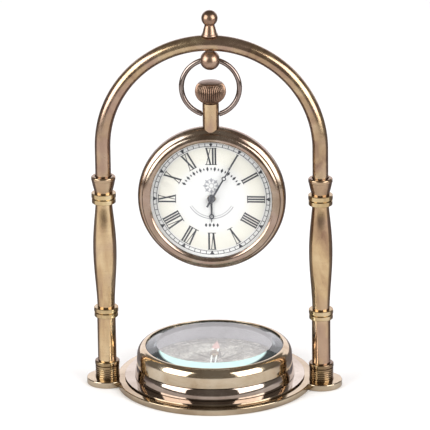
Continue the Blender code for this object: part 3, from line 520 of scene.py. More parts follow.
def swept(sections, sides):
    """A solid through round sections (x, z, direction angle, radius) in the plane of the arch."""
    vertices = []
    for x, z, direction, radius in sections:
        across = (-math.sin(direction), math.cos(direction))
        for k in range(sides):
            angle = 2 * math.pi * k / sides
            reach = radius * math.cos(angle)
            side = COLUMN_Y + radius * math.sin(angle)
            vertices.append((x + reach * across[0], side, z + reach * across[1]))
    return vertices, walled(sides, len(sections))


def arc(centre, radius, start, end, steps):
    """Points on an arc in degrees, both ends included."""
    points = []
    for k in range(steps + 1):
        angle = math.radians(start + (end - start) * k / steps)
        points.append((centre[0] + radius * math.cos(angle), centre[1] + radius * math.sin(angle)))
    return points


# ---------------------------------------------------------------- base plate
def plate_outline(inset, steps):
    """The disc with its two lobes, moved inwards by an inset."""
    low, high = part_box("base_plate")
    disc = (high.y - low.y) / 2 - inset
    lobe = high.x - COLUMN_X - inset
    distance = math.hypot(COLUMN_X, COLUMN_Y)
    along = (disc ** 2 - lobe ** 2 + distance ** 2) / (2 * distance)
    aside = math.sqrt(disc ** 2 - along ** 2)
    disc_half = math.degrees(math.atan2(aside, along))
    lobe_half = math.degrees(math.atan2(aside, along - distance))
    right = math.degrees(math.atan2(COLUMN_Y, COLUMN_X))
    left = 180 - right
    outline = arc((COLUMN_X, COLUMN_Y), lobe, right - lobe_half, right + lobe_half, steps)[:-1]
    outline += arc((0, 0), disc, right + disc_half, left - disc_half, 2 * steps)[:-1]
    outline += arc((-COLUMN_X, COLUMN_Y), lobe, left - lobe_half, left + lobe_half, steps)[:-1]
    outline += arc((0, 0), disc, left + disc_half, right + 360 - disc_half, 2 * steps)[:-1]
    return outline


def build_plate():
    """The base plate with softened edges and countersunk holes."""
    edge = 0.30 * MM
    angles = (0, 0.4, 0.8, 1.2, math.pi / 2)
    levels = [(edge * (1 - math.sin(a)), edge * (1 - math.cos(a))) for a in angles]
    levels += [(inset, PLATE_TOP - height) for inset, height in levels[::-1]]
    vertices = []
    for inset, height in levels:
        vertices += [(x, y, height) for x, y in plate_outline(inset, 48)]
    faces = walled(len(vertices) // len(levels), len(levels))
    plate = refine("base_plate", (vertices, faces), "base", "stand", "base_brass")
    for node in ("tie_rod_left", "tie_rod_right"):
        countersink(plate, node, 2.6 * MM, 1.7 * MM)
    for number in (1, 2, 3):
        countersink(plate, "compass_screw_%d" % number, 2.1 * MM, 1.2 * MM)


def countersink(plate, node, head, shank):
    """A hole through the plate, wider below, for the rod or screw in it."""
    outline = [(0, -MM), (head, -MM), (head, 0.7 * MM), (shank, 1.6 * MM)]
    outline += [(shank, PLATE_TOP + MM), (0, PLATE_TOP + MM)]
    centre = middle(node)
    cut(plate, turned(outline, (centre.x, centre.y), 40))


def cut(piece, shape):
    """Cut a shape out of a piece for good."""
    vertices, faces = shape
    mesh = bpy.data.meshes.new("cutter")
    mesh.from_pydata([tuple(v) for v in vertices], [], faces)
    cutter = bpy.data.objects.new("cutter", mesh)
    bpy.context.scene.collection.objects.link(cutter)
    modifier = piece.modifiers.new("cut", "BOOLEAN")
    modifier.operation = "DIFFERENCE"
    modifier.solver = "EXACT"
    modifier.object = cutter
    graph = bpy.context.evaluated_depsgraph_get()
    result = bpy.data.meshes.new_from_object(piece.evaluated_get(graph))
    piece.modifiers.remove(modifier)
    old = piece.data
    piece.data = result
    bpy.data.meshes.remove(old)
    bpy.data.objects.remove(cutter)
    bpy.data.meshes.remove(mesh)
    result.shade_smooth()
    result.set_sharp_from_angle(angle=math.radians(SHARP))


def bore_across(piece, radius, reach, height, segments):
    """Cut a hole along X through a piece that stands in the plane of the columns."""
    outline = [(0, -reach), (radius, -reach), (radius, reach), (0, reach)]
    vertices, faces = turned(outline, segments=segments)
    cut(piece, ([(z, COLUMN_Y + y, height - x) for x, y, z in vertices], faces))


# ---------------------------------------------------------------- columns
def grown(node):
    """Lower and upper level of a CAD node, grown into the gaps below and above it."""
    low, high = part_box(node)
    return low.z - GAP_FILL, high.z + GAP_FILL


def foot_outline():
    """Ribbed foot collar with a groove under its top ring."""
    radius = half_width("column_foot_left")
    bottom, top = PLATE_TOP + SEAT, grown("column_foot_left")[1]
    body = radius - 0.12 * MM
    waist = body - 0.16 * MM
    neck = body - 0.5 * MM
    outline = [(COLUMN_BORE, bottom), (radius, bottom, BEVEL), (radius, bottom + 0.5 * MM, BEVEL)]
    level = bottom + 0.55 * MM
    ribs = 4
    for _ in range(ribs):
        outline += [(waist, level), (body, level + 0.14 * MM, BEVEL), (body, level + 0.60 * MM, BEVEL)]
        level += 0.74 * MM
    outline += [(waist, level), (body, level + 0.1 * MM), (body, top - 1.72 * MM)]
    outline += [(neck, top - 1.66 * MM), (neck, top - 1.44 * MM), (radius, top - 1.38 * MM, BEVEL)]
    outline += [(radius, top - 0.2 * MM, 0.2 * MM), (radius - 0.3 * MM, top, BEVEL)]
    return outline + [(COLUMN_BORE, top)]


def stem_outline():
    """Plain lower stem."""
    radius = half_width("column_stem_left")
    bottom, top = grown("column_stem_left")
    return [(COLUMN_BORE, bottom), (radius, bottom), (radius, top), (COLUMN_BORE, top)]


def ring_outline(node):
    """Two bands with a deep groove between them."""
    radius = half_width(node)
    bottom, top = grown(node)
    lower = radius - 0.12 * MM
    groove = radius - 0.8 * MM
    centre = (bottom + top) / 2 - 0.05 * MM
    under, over = centre - 0.16 * MM, centre + 0.16 * MM
    outline = [(COLUMN_BORE, bottom), (lower - BEVEL, bottom), (lower, bottom + BEVEL)]
    outline += [(lower, under - BEVEL), (lower - BEVEL, under), (groove, centre - 0.14 * MM)]
    outline += [(groove, centre + 0.14 * MM), (radius - BEVEL, over), (radius, over + BEVEL)]
    return outline + [(radius, top - 0.2 * MM), (radius - 0.2 * MM, top), (COLUMN_BORE, top)]


def baluster_outline():
    """Slim shaft that swells to a belly."""
    belly = half_width("baluster_left")
    bottom, top = grown("baluster_left")
    steps = 40
    outline = [(COLUMN_BORE, bottom)]
    for k in range(steps + 1):
        share = k / steps
        shaft = (2.95 - 0.15 * share) * MM
        swell = math.sin(math.pi * share ** 1.15) ** 1.3
        outline.append((shaft + (belly - shaft) * swell, bottom + (top - bottom) * share))
    return outline + [(COLUMN_BORE, top)]


def cup_outline():
    """Cup that takes an end of the arch bar."""
    radius = half_width("column_cup_left")
    bottom, top = grown("column_cup_left")[0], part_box("column_cup_left")[1].z
    mouth = BAR_RADIUS + 0.25 * MM
    floor = bottom + 1.0 * MM
    outline = [(COLUMN_BORE, bottom), (3.1 * MM, bottom), (3.12 * MM, bottom + 0.7 * MM, 0.6 * MM)]
    outline += [(3.5 * MM, bottom + 2.0 * MM, 1.0 * MM), (radius - 0.25 * MM, bottom + 3.6 * MM, 0.5 * MM)]
    outline += [(radius - 0.1 * MM, top - 1.45 * MM, BEVEL), (radius, top - 1.35 * MM, BEVEL)]
    outline += [(radius, top - 0.25 * MM, 0.25 * MM), (radius - 0.4 * MM, top, 0.15 * MM)]
    return outline + [(mouth, top, 0.1 * MM), (mouth, floor), (COLUMN_BORE, floor)]


def build_columns():
    """The turned pieces of both columns."""
    pieces = [
        ("column_foot", foot_outline(), "foot"),
        ("column_stem", stem_outline(), "column"),
        ("lower_ring", ring_outline("lower_ring_left"), "ring"),
        ("upper_ring", ring_outline("upper_ring_left"), "ring"),
        ("baluster", baluster_outline(), "column"),
        ("column_cup", cup_outline(), "cup"),
    ]
    for side, sign in (("left", -1), ("right", 1)):
        place = (sign * COLUMN_X, COLUMN_Y)
        for piece, outline, finish in pieces:
            shape = turned(soften(outline, closed=True), place, 96, ring=True)
            refine(piece + "_" + side, shape, finish, "stand", "antique_brass")


# ---------------------------------------------------------------- arch, finial and ball
def build_arch():
    """Bent bar with a small bevel at each end."""
    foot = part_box("arch_bar")[0].z
    steps = 120
    ends = [(foot, BAR_RADIUS - 0.2 * MM), (foot + 0.2 * MM, BAR_RADIUS)]
    sections = [(-COLUMN_X, z, math.pi / 2, size) for z, size in ends]
    for k in range(steps + 1):
        angle = math.pi * (1 - k / steps)
        x = COLUMN_X * math.cos(angle)
        z = ARCH_CENTRE_Z + COLUMN_X * math.sin(angle)
        sections.append((x, z, angle - math.pi / 2, BAR_RADIUS))
    sections += [(COLUMN_X, z, -math.pi / 2, size) for z, size in ends[::-1]]
    refine("arch_bar", swept(sections, 48), "bent", "stand", "antique_brass")


def build_finial():
    """Ball finial on a waisted neck."""
    low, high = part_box("finial")
    base = ARCH_TOP + BAR_RADIUS - 0.12 * MM
    ball = 2.7 * MM
    centre = high.z - ball
    outline = [(0, low.z), (0.8 * MM, low.z), (0.8 * MM, base), (2.75 * MM, base, 0.15 * MM)]
    outline += [(2.75 * MM, base + 0.45 * MM, 0.3 * MM), (2.35 * MM, base + 1.0 * MM, 0.5 * MM)]
    outline += [(1.95 * MM, centre - 3.3 * MM, 1.2 * MM), (1.62 * MM, centre - 2.35 * MM, 0.2 * MM)]
    outline = soften(outline + [(1.75 * MM, centre - 2.1 * MM)])
    outline += arc((0, centre), ball, -46, 90, 24)[:-1] + [(0, high.z)]
    refine("finial", turned(outline, (0, COLUMN_Y), 64), "copper", "stand", "dark_brass")


def build_ball():
    """Hanging ball, bored for the bow, and the collar above it, dark as painted shade where the ball meets
    the bar.
    """
    low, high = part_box("hanger_ball")
    radius = BALL.z - low.z
    flat = math.degrees(math.asin((high.z - BALL.z) / radius))
    outline = [(0, low.z)] + arc((0, BALL.z), radius, -90, flat, 40)[1:] + [(0, high.z)]
    ball = refine("hanger_ball", turned(outline, (0, COLUMN_Y), 72), "copper", "stand", "dark_brass")
    bore_across(ball, 1.4 * MM, 5 * MM, BALL.z, 36)
    shape = ring_shape(1.5 * MM, 1.1 * MM, high.z - 0.5 * MM, high.z + 0.9 * MM, (0, COLUMN_Y), 48)
    # Painted shade: the collar is coloured dark where the ball meets the bar.
    make("ball_collar", shape, "patina_and_shade", "stand", slot="dark_brass")


# ---------------------------------------------------------------- watch
def build_bow():
    """The bow's wire with its two pins."""
    low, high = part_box("bow_ring")
    wire = (high.y - low.y) / 2 / math.sin(math.radians(72))
    radius = (high.x - low.x) / 2 - wire
    centre = high.z - wire - radius
    open_half = math.asin(3.25 * MM / radius)
    pin = 0.5 * MM
    end, inward = 1.9 * MM, 2.95 * MM
    pins = [(end, pin * 0.8), (end + 0.1 * MM, pin), (inward, pin), (inward + 0.02 * MM, wire * 0.8)]
    pins += [(inward + 0.12 * MM, wire)]
    sections = [(-x, PINS.z, math.pi, size) for x, size in pins]
    steps = 150
    sweep = 2 * (math.pi - open_half)
    for k in range(steps + 1):
        angle = -math.pi / 2 - open_half - sweep * k / steps
        x, z = radius * math.cos(angle), centre + radius * math.sin(angle)
        sections.append((x, z, angle - math.pi / 2, wire))
    sections += [(x, PINS.z, math.pi, size) for x, size in pins[::-1]]
    refine("bow_ring", swept(sections, 28), "wire", "bow", "dark_brass")


def build_case_middle():
    """Case middle with a bulging side, bored for the crown's stem."""
    side = [(21.3, -2.9), (23.2, -2.95, 0.2), (24.3, -2.3, 0.6), (25.0, -1.1, 0.9), (25.0, 1.1, 0.9)]
    side += [(24.3, 2.3, 0.6), (23.2, 2.95, 0.2), (22.3, 2.95), (22.3, 1.2), (21.3, 1.2)]
    side = in_mm(side, half_width("case_middle") / (25.0 * MM))
    shape = turned(soften(side, closed=True, steps=8), segments=FINE_ROUND, ring=True)
    case = refine("case_middle", to_watch(shape), "watch", "watch", "antique_brass")
    hole = half_width("stem_socket") + 0.15 * MM
    inside, outside = WATCH.z + 20 * MM, WATCH.z + 27 * MM
    cut(case, turned([(0, inside), (hole, inside), (hole, outside), (0, outside)], (0, COLUMN_Y), 36))


def build_case_bezel():
    """Rounded bezel that holds the crystal."""
    rim = [(21.5, 1.5), (22.0, 1.5), (22.0, 3.2), (23.2, 3.2, 0.1), (23.42, 3.45, 0.15)]
    rim += [(23.15, 4.15, 0.5), (22.3, 4.62, 0.6), (21.3, 4.72, 0.5), (20.75, 4.35, 0.3)]
    rim += [(20.45, 3.95, 0.15), (20.45, 3.72), (21.5, 3.72)]
    shape = turned(soften(in_mm(rim), closed=True, steps=6), segments=FINE_ROUND, ring=True)
    refine("case_bezel", to_watch(shape), "watch", "watch", "antique_brass")


def build_case_back():
    """Domed back with a rounded rim."""
    dome = [(r, -5.9 + 0.95 * (r / 19.0) ** 2.2) for r in (2, 4, 6, 8, 10, 12, 14, 16, 17.5, 19.0)]
    outline = [(0, -5.9)] + dome + [(21.2, -4.62, 0.4), (22.6, -4.25, 0.5), (23.4, -3.7, 0.4)]
    outline += [(23.35, -3.05, 0.2), (21.9, -3.05), (21.7, -3.8), (18.8, -4.4), (12.0, -4.95), (0, -5.25)]
    shape = turned(soften(in_mm(outline), steps=6), segments=FINE_ROUND)
    refine("case_back", to_watch(shape), "watch", "watch", "antique_brass")


def build_crystal():
    """Domed watch glass."""
    under = [(r, 5.0 - 2.4 * (r / 20.2) ** 2) for r in (0, 3, 6, 9, 12, 15, 17.5, 20.2)]
    over = [(r, 5.9 - 2.0 * (r / 20.1) ** 2) for r in (20.1, 18, 15, 12, 9, 6, 3, 0)]
    lens = in_mm(under + [(21.2, 2.4), (21.2, 3.45), (20.2, 3.45)] + over)
    refine("crystal", to_watch(turned(lens)), "crystal", "watch", "watch_glass")


def build_pendant():
    """Pendant tube, bored across for the bow's pins."""
    bore = 1.1 * MM
    radius = half_width("pendant")
    bottom, top = WATCH.z + 23.4 * MM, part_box("pendant")[1].z
    neck = [(bore, bottom), (radius, bottom), (radius, top - 0.1 * MM), (radius - 0.1 * MM, top)]
    neck += [(bore, top)]
    shape = turned(soften(neck, closed=True), (0, COLUMN_Y), 64, ring=True)
    pendant = refine("pendant", shape, "column", "watch", "antique_brass")
    bore_across(pendant, 0.56 * MM, 4 * MM, PINS.z, 24)


def build_crown():
    """The crown: a domed cap over a bulging band of fine flutes."""
    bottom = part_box("crown")[0].z
    flutes = 44
    samples = 8
    depth = 0.36 * MM

    def fluted(radius, height):
        up = height - bottom
        rising = min(1.0, max(0.0, (up - 0.1 * MM) / (0.5 * MM)))
        falling = min(1.0, max(0.0, (6.62 * MM - up) / (0.2 * MM)))
        return rising * falling if radius > 2.4 * MM else 0.0

    def groove(angle, radius, height):
        return -depth * fluted(radius, height) * (0.5 + 0.5 * math.cos(angle * flutes))

    band = [(0.75, 3.6), (0.75, 0.0), (2.6, 0.0, 0.1), (3.2, 0.15, 0.2), (4.35, 1.1, 0.6), (5.1, 2.5, 0.8)]
    band += [(5.25, 3.6, 0.8), (5.1, 4.8, 0.6), (4.65, 5.8, 0.4), (3.9, 6.6)]
    band = [(point[0], bottom + point[1], *point[2:]) for point in in_mm(band)]
    cap = in_mm([(3.7, 6.74), (3.0, 6.88), (2.0, 7.02), (1.0, 7.11), (0, 7.15)])
    cap = [(radius, bottom + height) for radius, height in cap]
    outline = [(0, bottom + 3.6 * MM)] + densify(soften(band), 0.25 * MM) + cap
    shape = turned(outline, (0, COLUMN_Y), flutes * samples, shift=groove)
    crown = refine("crown", shape, "copper", "crown", "dark_brass", sharp=60)
    # The flute valleys take the dark finish: dark patina and painted shade in the grooves.
    crown.data.materials.append(MATERIALS["patina_and_shade"])
    for face in crown.data.polygons:
        x, y, z = face.center.x, face.center.y - COLUMN_Y, face.center.z
        in_valley = math.cos(math.atan2(y, x) * flutes) > 0.05
        if in_valley and fluted(math.hypot(x, y), z) > 0.5:
            face.material_index = 1


def densify(points, step):
    """Add points along an outline so that none are further apart than a step."""
    result = [points[0]]
    for start, end in zip(points, points[1:]):
        parts = max(1, math.ceil(math.dist(start, end) / step))
        for k in range(1, parts + 1):
            share = k / parts
            result.append(tuple(a + (b - a) * share for a, b in zip(start, end)))
    return result


# ---------------------------------------------------------------- dial
def bar(x, y, length, width, lean=0.0):
    """A flat stroke centred on (x, y): length along Y, leaned by an angle in degrees."""
    aside, along = width / 2, length / 2
    corners = [(-aside, -along), (aside, -along), (aside, along), (-aside, along)]
    return [(x + cx, y + cy) for cx, cy in rotated(corners, lean)]


NUMERAL_HEIGHT = 5.8 * MM
THICK = 0.58 * MM
THIN = 0.26 * MM
SERIF = 0.24 * MM
LETTER_WIDTHS = {"I": 0.88 * MM, "V": 2.0 * MM, "X": 2.1 * MM}


def numeral_strokes(text):
    """The strokes of a Roman numeral, centred on the origin and upright."""
    total = sum(LETTER_WIDTHS[letter] for letter in text)
    x = -total / 2
    strokes = []
    for letter in text:
        wide = LETTER_WIDTHS[letter]
        centre = x + wide / 2
        spread = wide * 0.32
        if letter == "I":
            strokes.append(bar(centre, 0, NUMERAL_HEIGHT, THICK))
        elif letter == "V":
            lean = math.degrees(math.atan2(spread, NUMERAL_HEIGHT))
            strokes.append(bar(centre - spread / 2, 0, NUMERAL_HEIGHT, THICK, lean))
            strokes.append(bar(centre + spread / 2, 0, NUMERAL_HEIGHT, THIN, -lean))
        else:
            lean = math.degrees(math.atan2(spread * 2, NUMERAL_HEIGHT))
            strokes.append(bar(centre, 0, NUMERAL_HEIGHT * 1.02, THICK, lean))
            strokes.append(bar(centre, 0, NUMERAL_HEIGHT * 1.02, THIN, -lean))
        x += wide
    strokes.append(bar(0, NUMERAL_HEIGHT / 2, SERIF, total))
    strokes.append(bar(0, -NUMERAL_HEIGHT / 2, SERIF, total))
    return strokes


def placed(outline, radius, angle):
    """Move an upright outline out to a radius at a clock angle in degrees."""
    return rotated([(x, y + radius) for x, y in outline], -angle)


def ring_shape(outer, inner, bottom, top, centre=(0, 0), segments=ROUND):
    """A flat ring on +Z."""
    outline = [(outer, bottom), (outer, top), (inner, top), (inner, bottom)]
    return turned(outline, centre, segments, ring=True)


def curved_band(centre, radius, width, start, end, steps):
    """A thin curved stroke in degrees."""
    outer = arc(centre, radius + width / 2, start, end, steps)
    return outer + arc(centre, radius - width / 2, end, start, steps)


def build_dial():
    """The dial plate, and on it the black marks, the faint ornament and the beading."""
    low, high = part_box("dial")
    front, back = WATCH.y - low.y, WATCH.y - high.y
    radius = half_width("dial")
    hole = 1.4 * MM
    outline = [(hole, back), (radius, back), (radius, front - 0.1 * MM, 0.08 * MM)]
    outline += [(radius - 0.1 * MM, front), (hole, front)]
    shape = to_watch(turned(soften(outline, closed=True), ring=True))
    refine("dial", shape, "dial", "watch", "dial_white")
    top = front + 0.03 * MM
    build_dial_markings(front, top)
    build_dial_ornament(front, top)
    build_dial_beading(front, top)


def build_dial_markings(front, top):
    """Minute track with its two circles, and the Roman numerals."""
    outer, inner = 19.6 * MM, 18.5 * MM
    ink = []
    for minute in range(60):
        if minute % 5 == 0:
            mark = placed(in_mm([(0.75, 0.02), (0, -1.45), (-0.75, 0.02)]), outer, minute * 6)
        else:
            mark = placed(bar(0, 0, outer - inner, 0.22 * MM), (outer + inner) / 2, minute * 6)
        ink.append(extruded(mark, front, top))
    ink.append(ring_shape(outer + 0.13 * MM, outer - 0.09 * MM, front, top + 0.003 * MM))
    ink.append(ring_shape(inner + 0.08 * MM, inner - 0.08 * MM, front, top + 0.003 * MM))
    numerals = ["XII", "I", "II", "III", "IIII", "V", "VI", "VII", "VIII", "IX", "X", "XI"]
    for hour, text in enumerate(numerals):
        for level, stroke in enumerate(numeral_strokes(text)):
            mark = placed(stroke, 15.0 * MM, hour * 30)
            ink.append(extruded(mark, front, top + STAGGER * level))
    make("dial_markings", to_watch(merged(ink)), "ink", "watch", slot="hand_black", smooth=False)


def build_dial_ornament(front, top):
    """A plain rosette above the centre and a double curve below it."""
    faint = []
    centre = 4.6 * MM
    for k in range(8):
        petal = in_mm([(-0.5, 1.9), (0, 3.0), (0.5, 1.9), (0, 1.0)])
        petal = [(x, y + centre) for x, y in placed(petal, 0, 45 * k)]
        faint.append(extruded(petal, front, top))
    faint.append(ring_shape(2.35 * MM, 2.12 * MM, front, top + STAGGER, (0, centre), 48))
    faint.append(ring_shape(0.95 * MM, 0.72 * MM, front, top + STAGGER, (0, centre), 32))
    for reach, wide in in_mm([(8.3, 0.28), (7.6, 0.2)]):
        stroke = curved_band((0, 1.3 * MM), reach, wide, 209, 331, 48)
        faint.append(extruded(stroke, front, top + STAGGER / 2))
    make("dial_ornament", to_watch(merged(faint)), "faint_ink", "watch", slot="dial_white", smooth=False)


def build_dial_beading(front, top):
    """A bow of lozenges above the centre and a short row of them below it."""
    beads = []
    for k in range(19):
        size = (0.40 if k % 2 else 0.62) * MM
        wide, tall = size * 0.72, size * 1.45
        lozenge = [(-wide, 0), (0, -tall), (wide, 0), (0, tall)]
        beads.append(extruded(placed(lozenge, 10.6 * MM, -60 + 120 * k / 18), front, top))
    for x in (-1.95, -0.65, 0.65, 1.95):
        lozenge = in_mm([(x, -8.55), (x - 0.45, -9.3), (x, -10.05), (x + 0.45, -9.3)])
        beads.append(extruded(lozenge, front, top))
    make("dial_beading", to_watch(merged(beads)), "ink", "watch", slot="hand_black", smooth=False)


# ---------------------------------------------------------------- hands
# Each hand's angle from twelve in degrees, and its sizes in millimetres:
# length, tail, hub, bore, place of the open ring, ring, eye of the ring.
HANDS = {
    "hour_hand": (180, (8.2, 1.7, 1.25, 1.02, 6.1, 0.86, 0.5)),
    "minute_hand": (30, (17.6, 3.0, 1.15, 0.8, 8.6, 0.78, 0.44)),
}


def hand_shape(low, high, angle, length, tail, hub, bore, ring_at, ring, eye):
    """A slim hand with a round hub and an open ring, softly crowned."""
    root, neck, tip = 0.36 * MM, 0.25 * MM, 0.08 * MM
    shoulder = high - (high - low) * 0.35

    def blade(points):
        outline = points + [(-x, y) for x, y in points[::-1]]
        levels = ((low, 1.0), (shoulder, 1.0), (high, 0.45))
        return [(x * share, y, z) for z, share in levels for x, y in outline], walled(len(outline), 3)

    def collar(hole, radius, ease, place, segments):
        outline = [(hole, low), (radius, low), (radius, shoulder, 0.1 * MM)]
        outline += [(radius * ease, high, 0.05 * MM), (hole, high)]
        return turned(soften(outline, closed=True), (0, place), segments, ring=True)

    parts = [blade([(0.34 * MM, -tail), (root, -hub * 0.9)])]
    parts.append(blade([(root, hub * 0.9), (neck, ring_at - ring * 0.85)]))
    parts.append(blade([(neck, ring_at + ring * 0.85), (tip, length)]))
    parts.append(collar(bore, hub, 0.9, 0, 48))
    parts.append(collar(eye, ring, 0.88, ring_at, 40))
    vertices, faces = merged(parts)
    flat = rotated([(x, y) for x, y, _ in vertices], -angle)
    return to_watch(([(x, y, corner[2]) for (x, y), corner in zip(flat, vertices)], faces))


def build_hands():
    """Hour hand, minute hand and the cap over the centre."""
    for node, (angle, sizes) in HANDS.items():
        low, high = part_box(node)
        shape = hand_shape(WATCH.y - high.y, WATCH.y - low.y, angle, *in_mm([sizes])[0])
        refine(node, shape, "hands", node, "hand_black")
    top = WATCH.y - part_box("minute_hand")[0].y
    cap = soften(in_mm([(0.64, 0.02), (0.95, 0.02, 0.05), (0.95, 0.2, 0.1), (0.7, 0.42, 0.1)]))
    outline = [(0, top + 0.1 * MM)] + [(r, top + h) for r, h in cap] + [(0, top + 0.48 * MM)]
    make("hand_cap", to_watch(turned(outline, segments=40)), "hands", "minute_hand", slot="hand_black")


# ---------------------------------------------------------------- compass
def darken_inside(piece, radius):
    """Give the faces within a radius of the compass axis a painted shade, as in a recess."""
    piece.data.materials.append(MATERIALS["recess_shade"])
    for face in piece.data.polygons:
        if math.hypot(face.center.x, face.center.y) < radius:
            face.material_index = 1


def build_flange():
    """Flat flange with an undercut edge."""
    radius = half_width("compass_flange")
    bottom, top = PLATE_TOP + SEAT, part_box("compass_flange")[1].z
    undercut = radius - 0.5 * MM
    outline = [(0, bottom), (undercut, bottom), (undercut, top - 0.2 * MM)]
    outline += [(radius - 0.04 * MM, top - 0.2 * MM), (radius, top - 0.16 * MM)]
    outline += [(radius, top - 0.05 * MM), (radius - 0.05 * MM, top), (0, top)]
    shape = turned(outline, segments=FINE_ROUND)
    refine("compass_flange", shape, "flange", "stand", "base_brass")


def build_bowl():
    """Bowl that curves in from a straight foot to the bezel, with painted shade on its inside."""
    low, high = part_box("compass_bowl")
    wall = half_width("compass_bowl")
    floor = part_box("compass_flange")[1].z + SEAT
    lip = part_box("compass_bezel")[0].z - 0.12 * MM
    rim = half_width("compass_bezel")
    step, seat, inner, inside = wall - 0.35 * MM, 24.1 * MM, 23.0 * MM, low.z + 1.2 * MM
    outline = [(0, floor), (step, floor), (step, floor + 0.14 * MM), (wall, floor + 0.16 * MM)]
    for k in range(1, 11):
        share = k / 10
        inward = (wall - rim) * (0.35 * share + 0.65 * share ** 2)
        outline.append((wall - inward, floor + (lip - floor) * (0.05 + 0.90 * share)))
    outline += [(rim - 0.12 * MM, lip), (seat, lip), (seat, high.z), (inner, high.z), (inner, inside)]
    shape = turned(soften(outline + [(0, inside)], steps=6), segments=FINE_ROUND)
    darken_inside(refine("compass_bowl", shape, "bowl", "stand", "antique_brass"), 23.3 * MM)


def build_compass_bezel():
    """Tall bezel with a rounded top edge and painted shade on its inside."""
    low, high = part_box("compass_bezel")
    wall = half_width("compass_bezel")
    base, top = low.z, high.z
    seat = half_width("compass_glass") + 0.28 * MM
    outline = [(24.4 * MM, base), (wall - 0.3 * MM, base), (wall - 0.02 * MM, base + 0.15 * MM, 0.12 * MM)]
    outline += [(wall, base + 1.4 * MM, 0.6 * MM), (wall - 0.12 * MM, base + 2.9 * MM, 0.5 * MM)]
    rise = top - (base + 2.9 * MM)
    inward = wall - 0.12 * MM - seat - 0.35 * MM
    for k in range(1, 13):
        turn = math.pi / 2 * k / 12
        radius = wall - 0.12 * MM - inward * (1 - math.cos(turn))
        outline.append((radius, base + 2.9 * MM + rise * math.sin(turn)))
    outline += [(seat, top, 0.15 * MM), (seat, top - 2.35 * MM), (22.3 * MM, top - 2.35 * MM)]
    outline += [(22.3 * MM, top - 2.7 * MM), (24.4 * MM, top - 2.7 * MM)]
    shape = turned(soften(outline, closed=True), segments=FINE_ROUND, ring=True)
    darken_inside(refine("compass_bezel", shape, "bezel", "stand", "antique_brass"), 23.5 * MM)


def build_glass():
    """Thick glass with a wide bevel."""
    low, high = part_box("compass_glass")
    radius = half_width("compass_glass")
    flat = radius - 3.4 * MM
    edge = high.z - 1.05 * MM
    outline = [(0, low.z), (radius - 0.1 * MM, low.z), (radius, low.z + 0.1 * MM), (radius, edge)]
    outline += [(flat, high.z), (0, high.z)]
    shape = turned(outline, segments=FINE_ROUND)
    pane = refine("compass_glass", shape, "compass_glass", "stand", "compass_glass_clear", sharp=8)
    pane.data.materials.append(MATERIALS["bevel"])
    for face in pane.data.polygons:
        distance = math.hypot(face.center.x, face.center.y)
        if face.center.z > edge + 0.05 * MM and distance > flat:
            face.material_index = 1


def build_card():
    """The card, and its engraving: degree ticks, three rings and a star of sixteen points."""
    low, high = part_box("compass_card")
    shape = ring_shape(half_width("compass_card"), 1.2 * MM, low.z, high.z)
    refine("compass_card", shape, "card", "stand", "card_brass")
    top = high.z
    raised = top + 0.05 * MM
    marks = []
    for degree in range(0, 360, 5):
        length = (1.9 if degree % 30 == 0 else 1.3 if degree % 10 == 0 else 0.8) * MM
        mark = placed(bar(0, 0, length, 0.16 * MM), 20.6 * MM - length / 2, degree)
        marks.append(extruded(mark, top, raised))
    for outer in (20.8 * MM, 18.2 * MM, 9.4 * MM):
        marks.append(ring_shape(outer, outer - 0.16 * MM, top, raised + 0.004 * MM))
    main, half, quarter = (2.1, 17.4), (1.6, 12.6), (0.9, 9.0)
    for k in range(16):
        wide, reach = (main, quarter, half, quarter)[k % 4]
        side = in_mm([(0, 2.6), (wide, 4.6), (0, reach)])
        marks.append(extruded(placed(side, 0, 22.5 * k), top, raised + STAGGER * (k % 4)))
    make("card_engraving", merged(marks), "engraving", "stand", slot="card_brass", smooth=False)


def build_needle():
    """Needle: a red point to the north, two rails and a pale point to the south."""
    low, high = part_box("compass_needle")
    north = in_mm([(1.15, 5.5), (1.3, 7.5), (0.0, 13.0), (-1.3, 7.5), (-1.15, 5.5)])
    shape = extruded(north, low.z, high.z)
    make("needle_north", shape, "needle_red", "needle", ["compass_needle"], "needle_blue", smooth=False)
    right = in_mm([(1.15, 5.6), (0.6, 5.6), (0.5, -15.2), (0.85, -15.6)])
    left = [(-x, y) for x, y in right[::-1]]
    tail = [(0.0, (low.y - high.y) / 2), (-0.87 * MM, -15.5 * MM), (0.87 * MM, -15.5 * MM)]
    south = [extruded(outline, low.z, high.z) for outline in (left, right, tail)]
    make("needle_south", merged(south), "needle_pale", "needle", slot="needle_blue", smooth=False)


# ---------------------------------------------------------------- carried-over CAD nodes
KEPT_FINISHES = {
    "steel": ["tie_rod_left", "tie_rod_right", "crown_stem", "stem_socket", "movement_plate"]
    + ["battery_strap", "cannon_pinion", "minute_wheel", "compass_pivot"]
    + ["compass_screw_%d" % number for number in (1, 2, 3)],
    "plastic": ["movement_holder"],
    "board": ["circuit_board"],
    "cell": ["battery"],
    "copper_wire": ["coil"],
    "turned": ["hour_wheel", "needle_cap"],
}


def finish_kept_nodes():
    """Give each CAD node that stays visible its procedural finish."""
    for finish, nodes in KEPT_FINISHES.items():
        for node in nodes:
            mesh = frame["nodes"][node].data
            mesh.materials.clear()
            mesh.materials.append(MATERIALS[finish])


# ---------------------------------------------------------------- studio
def add_area(name, place, aim, size, power, colour=(1, 1, 1)):
    """A rectangular studio light that the camera doesn't see."""
    lamp = bpy.data.lights.new(name, "AREA")
    lamp.shape = "RECTANGLE"
    lamp.size, lamp.size_y = size
    lamp.energy = power
    lamp.color = colour
    light = bpy.data.objects.new(name, lamp)
    light.location = place
    light.rotation_euler = (Vector(aim) - Vector(place)).to_track_quat("-Z", "Y").to_euler()
    light.visible_camera = False
    bpy.context.scene.collection.objects.link(light)
    return light


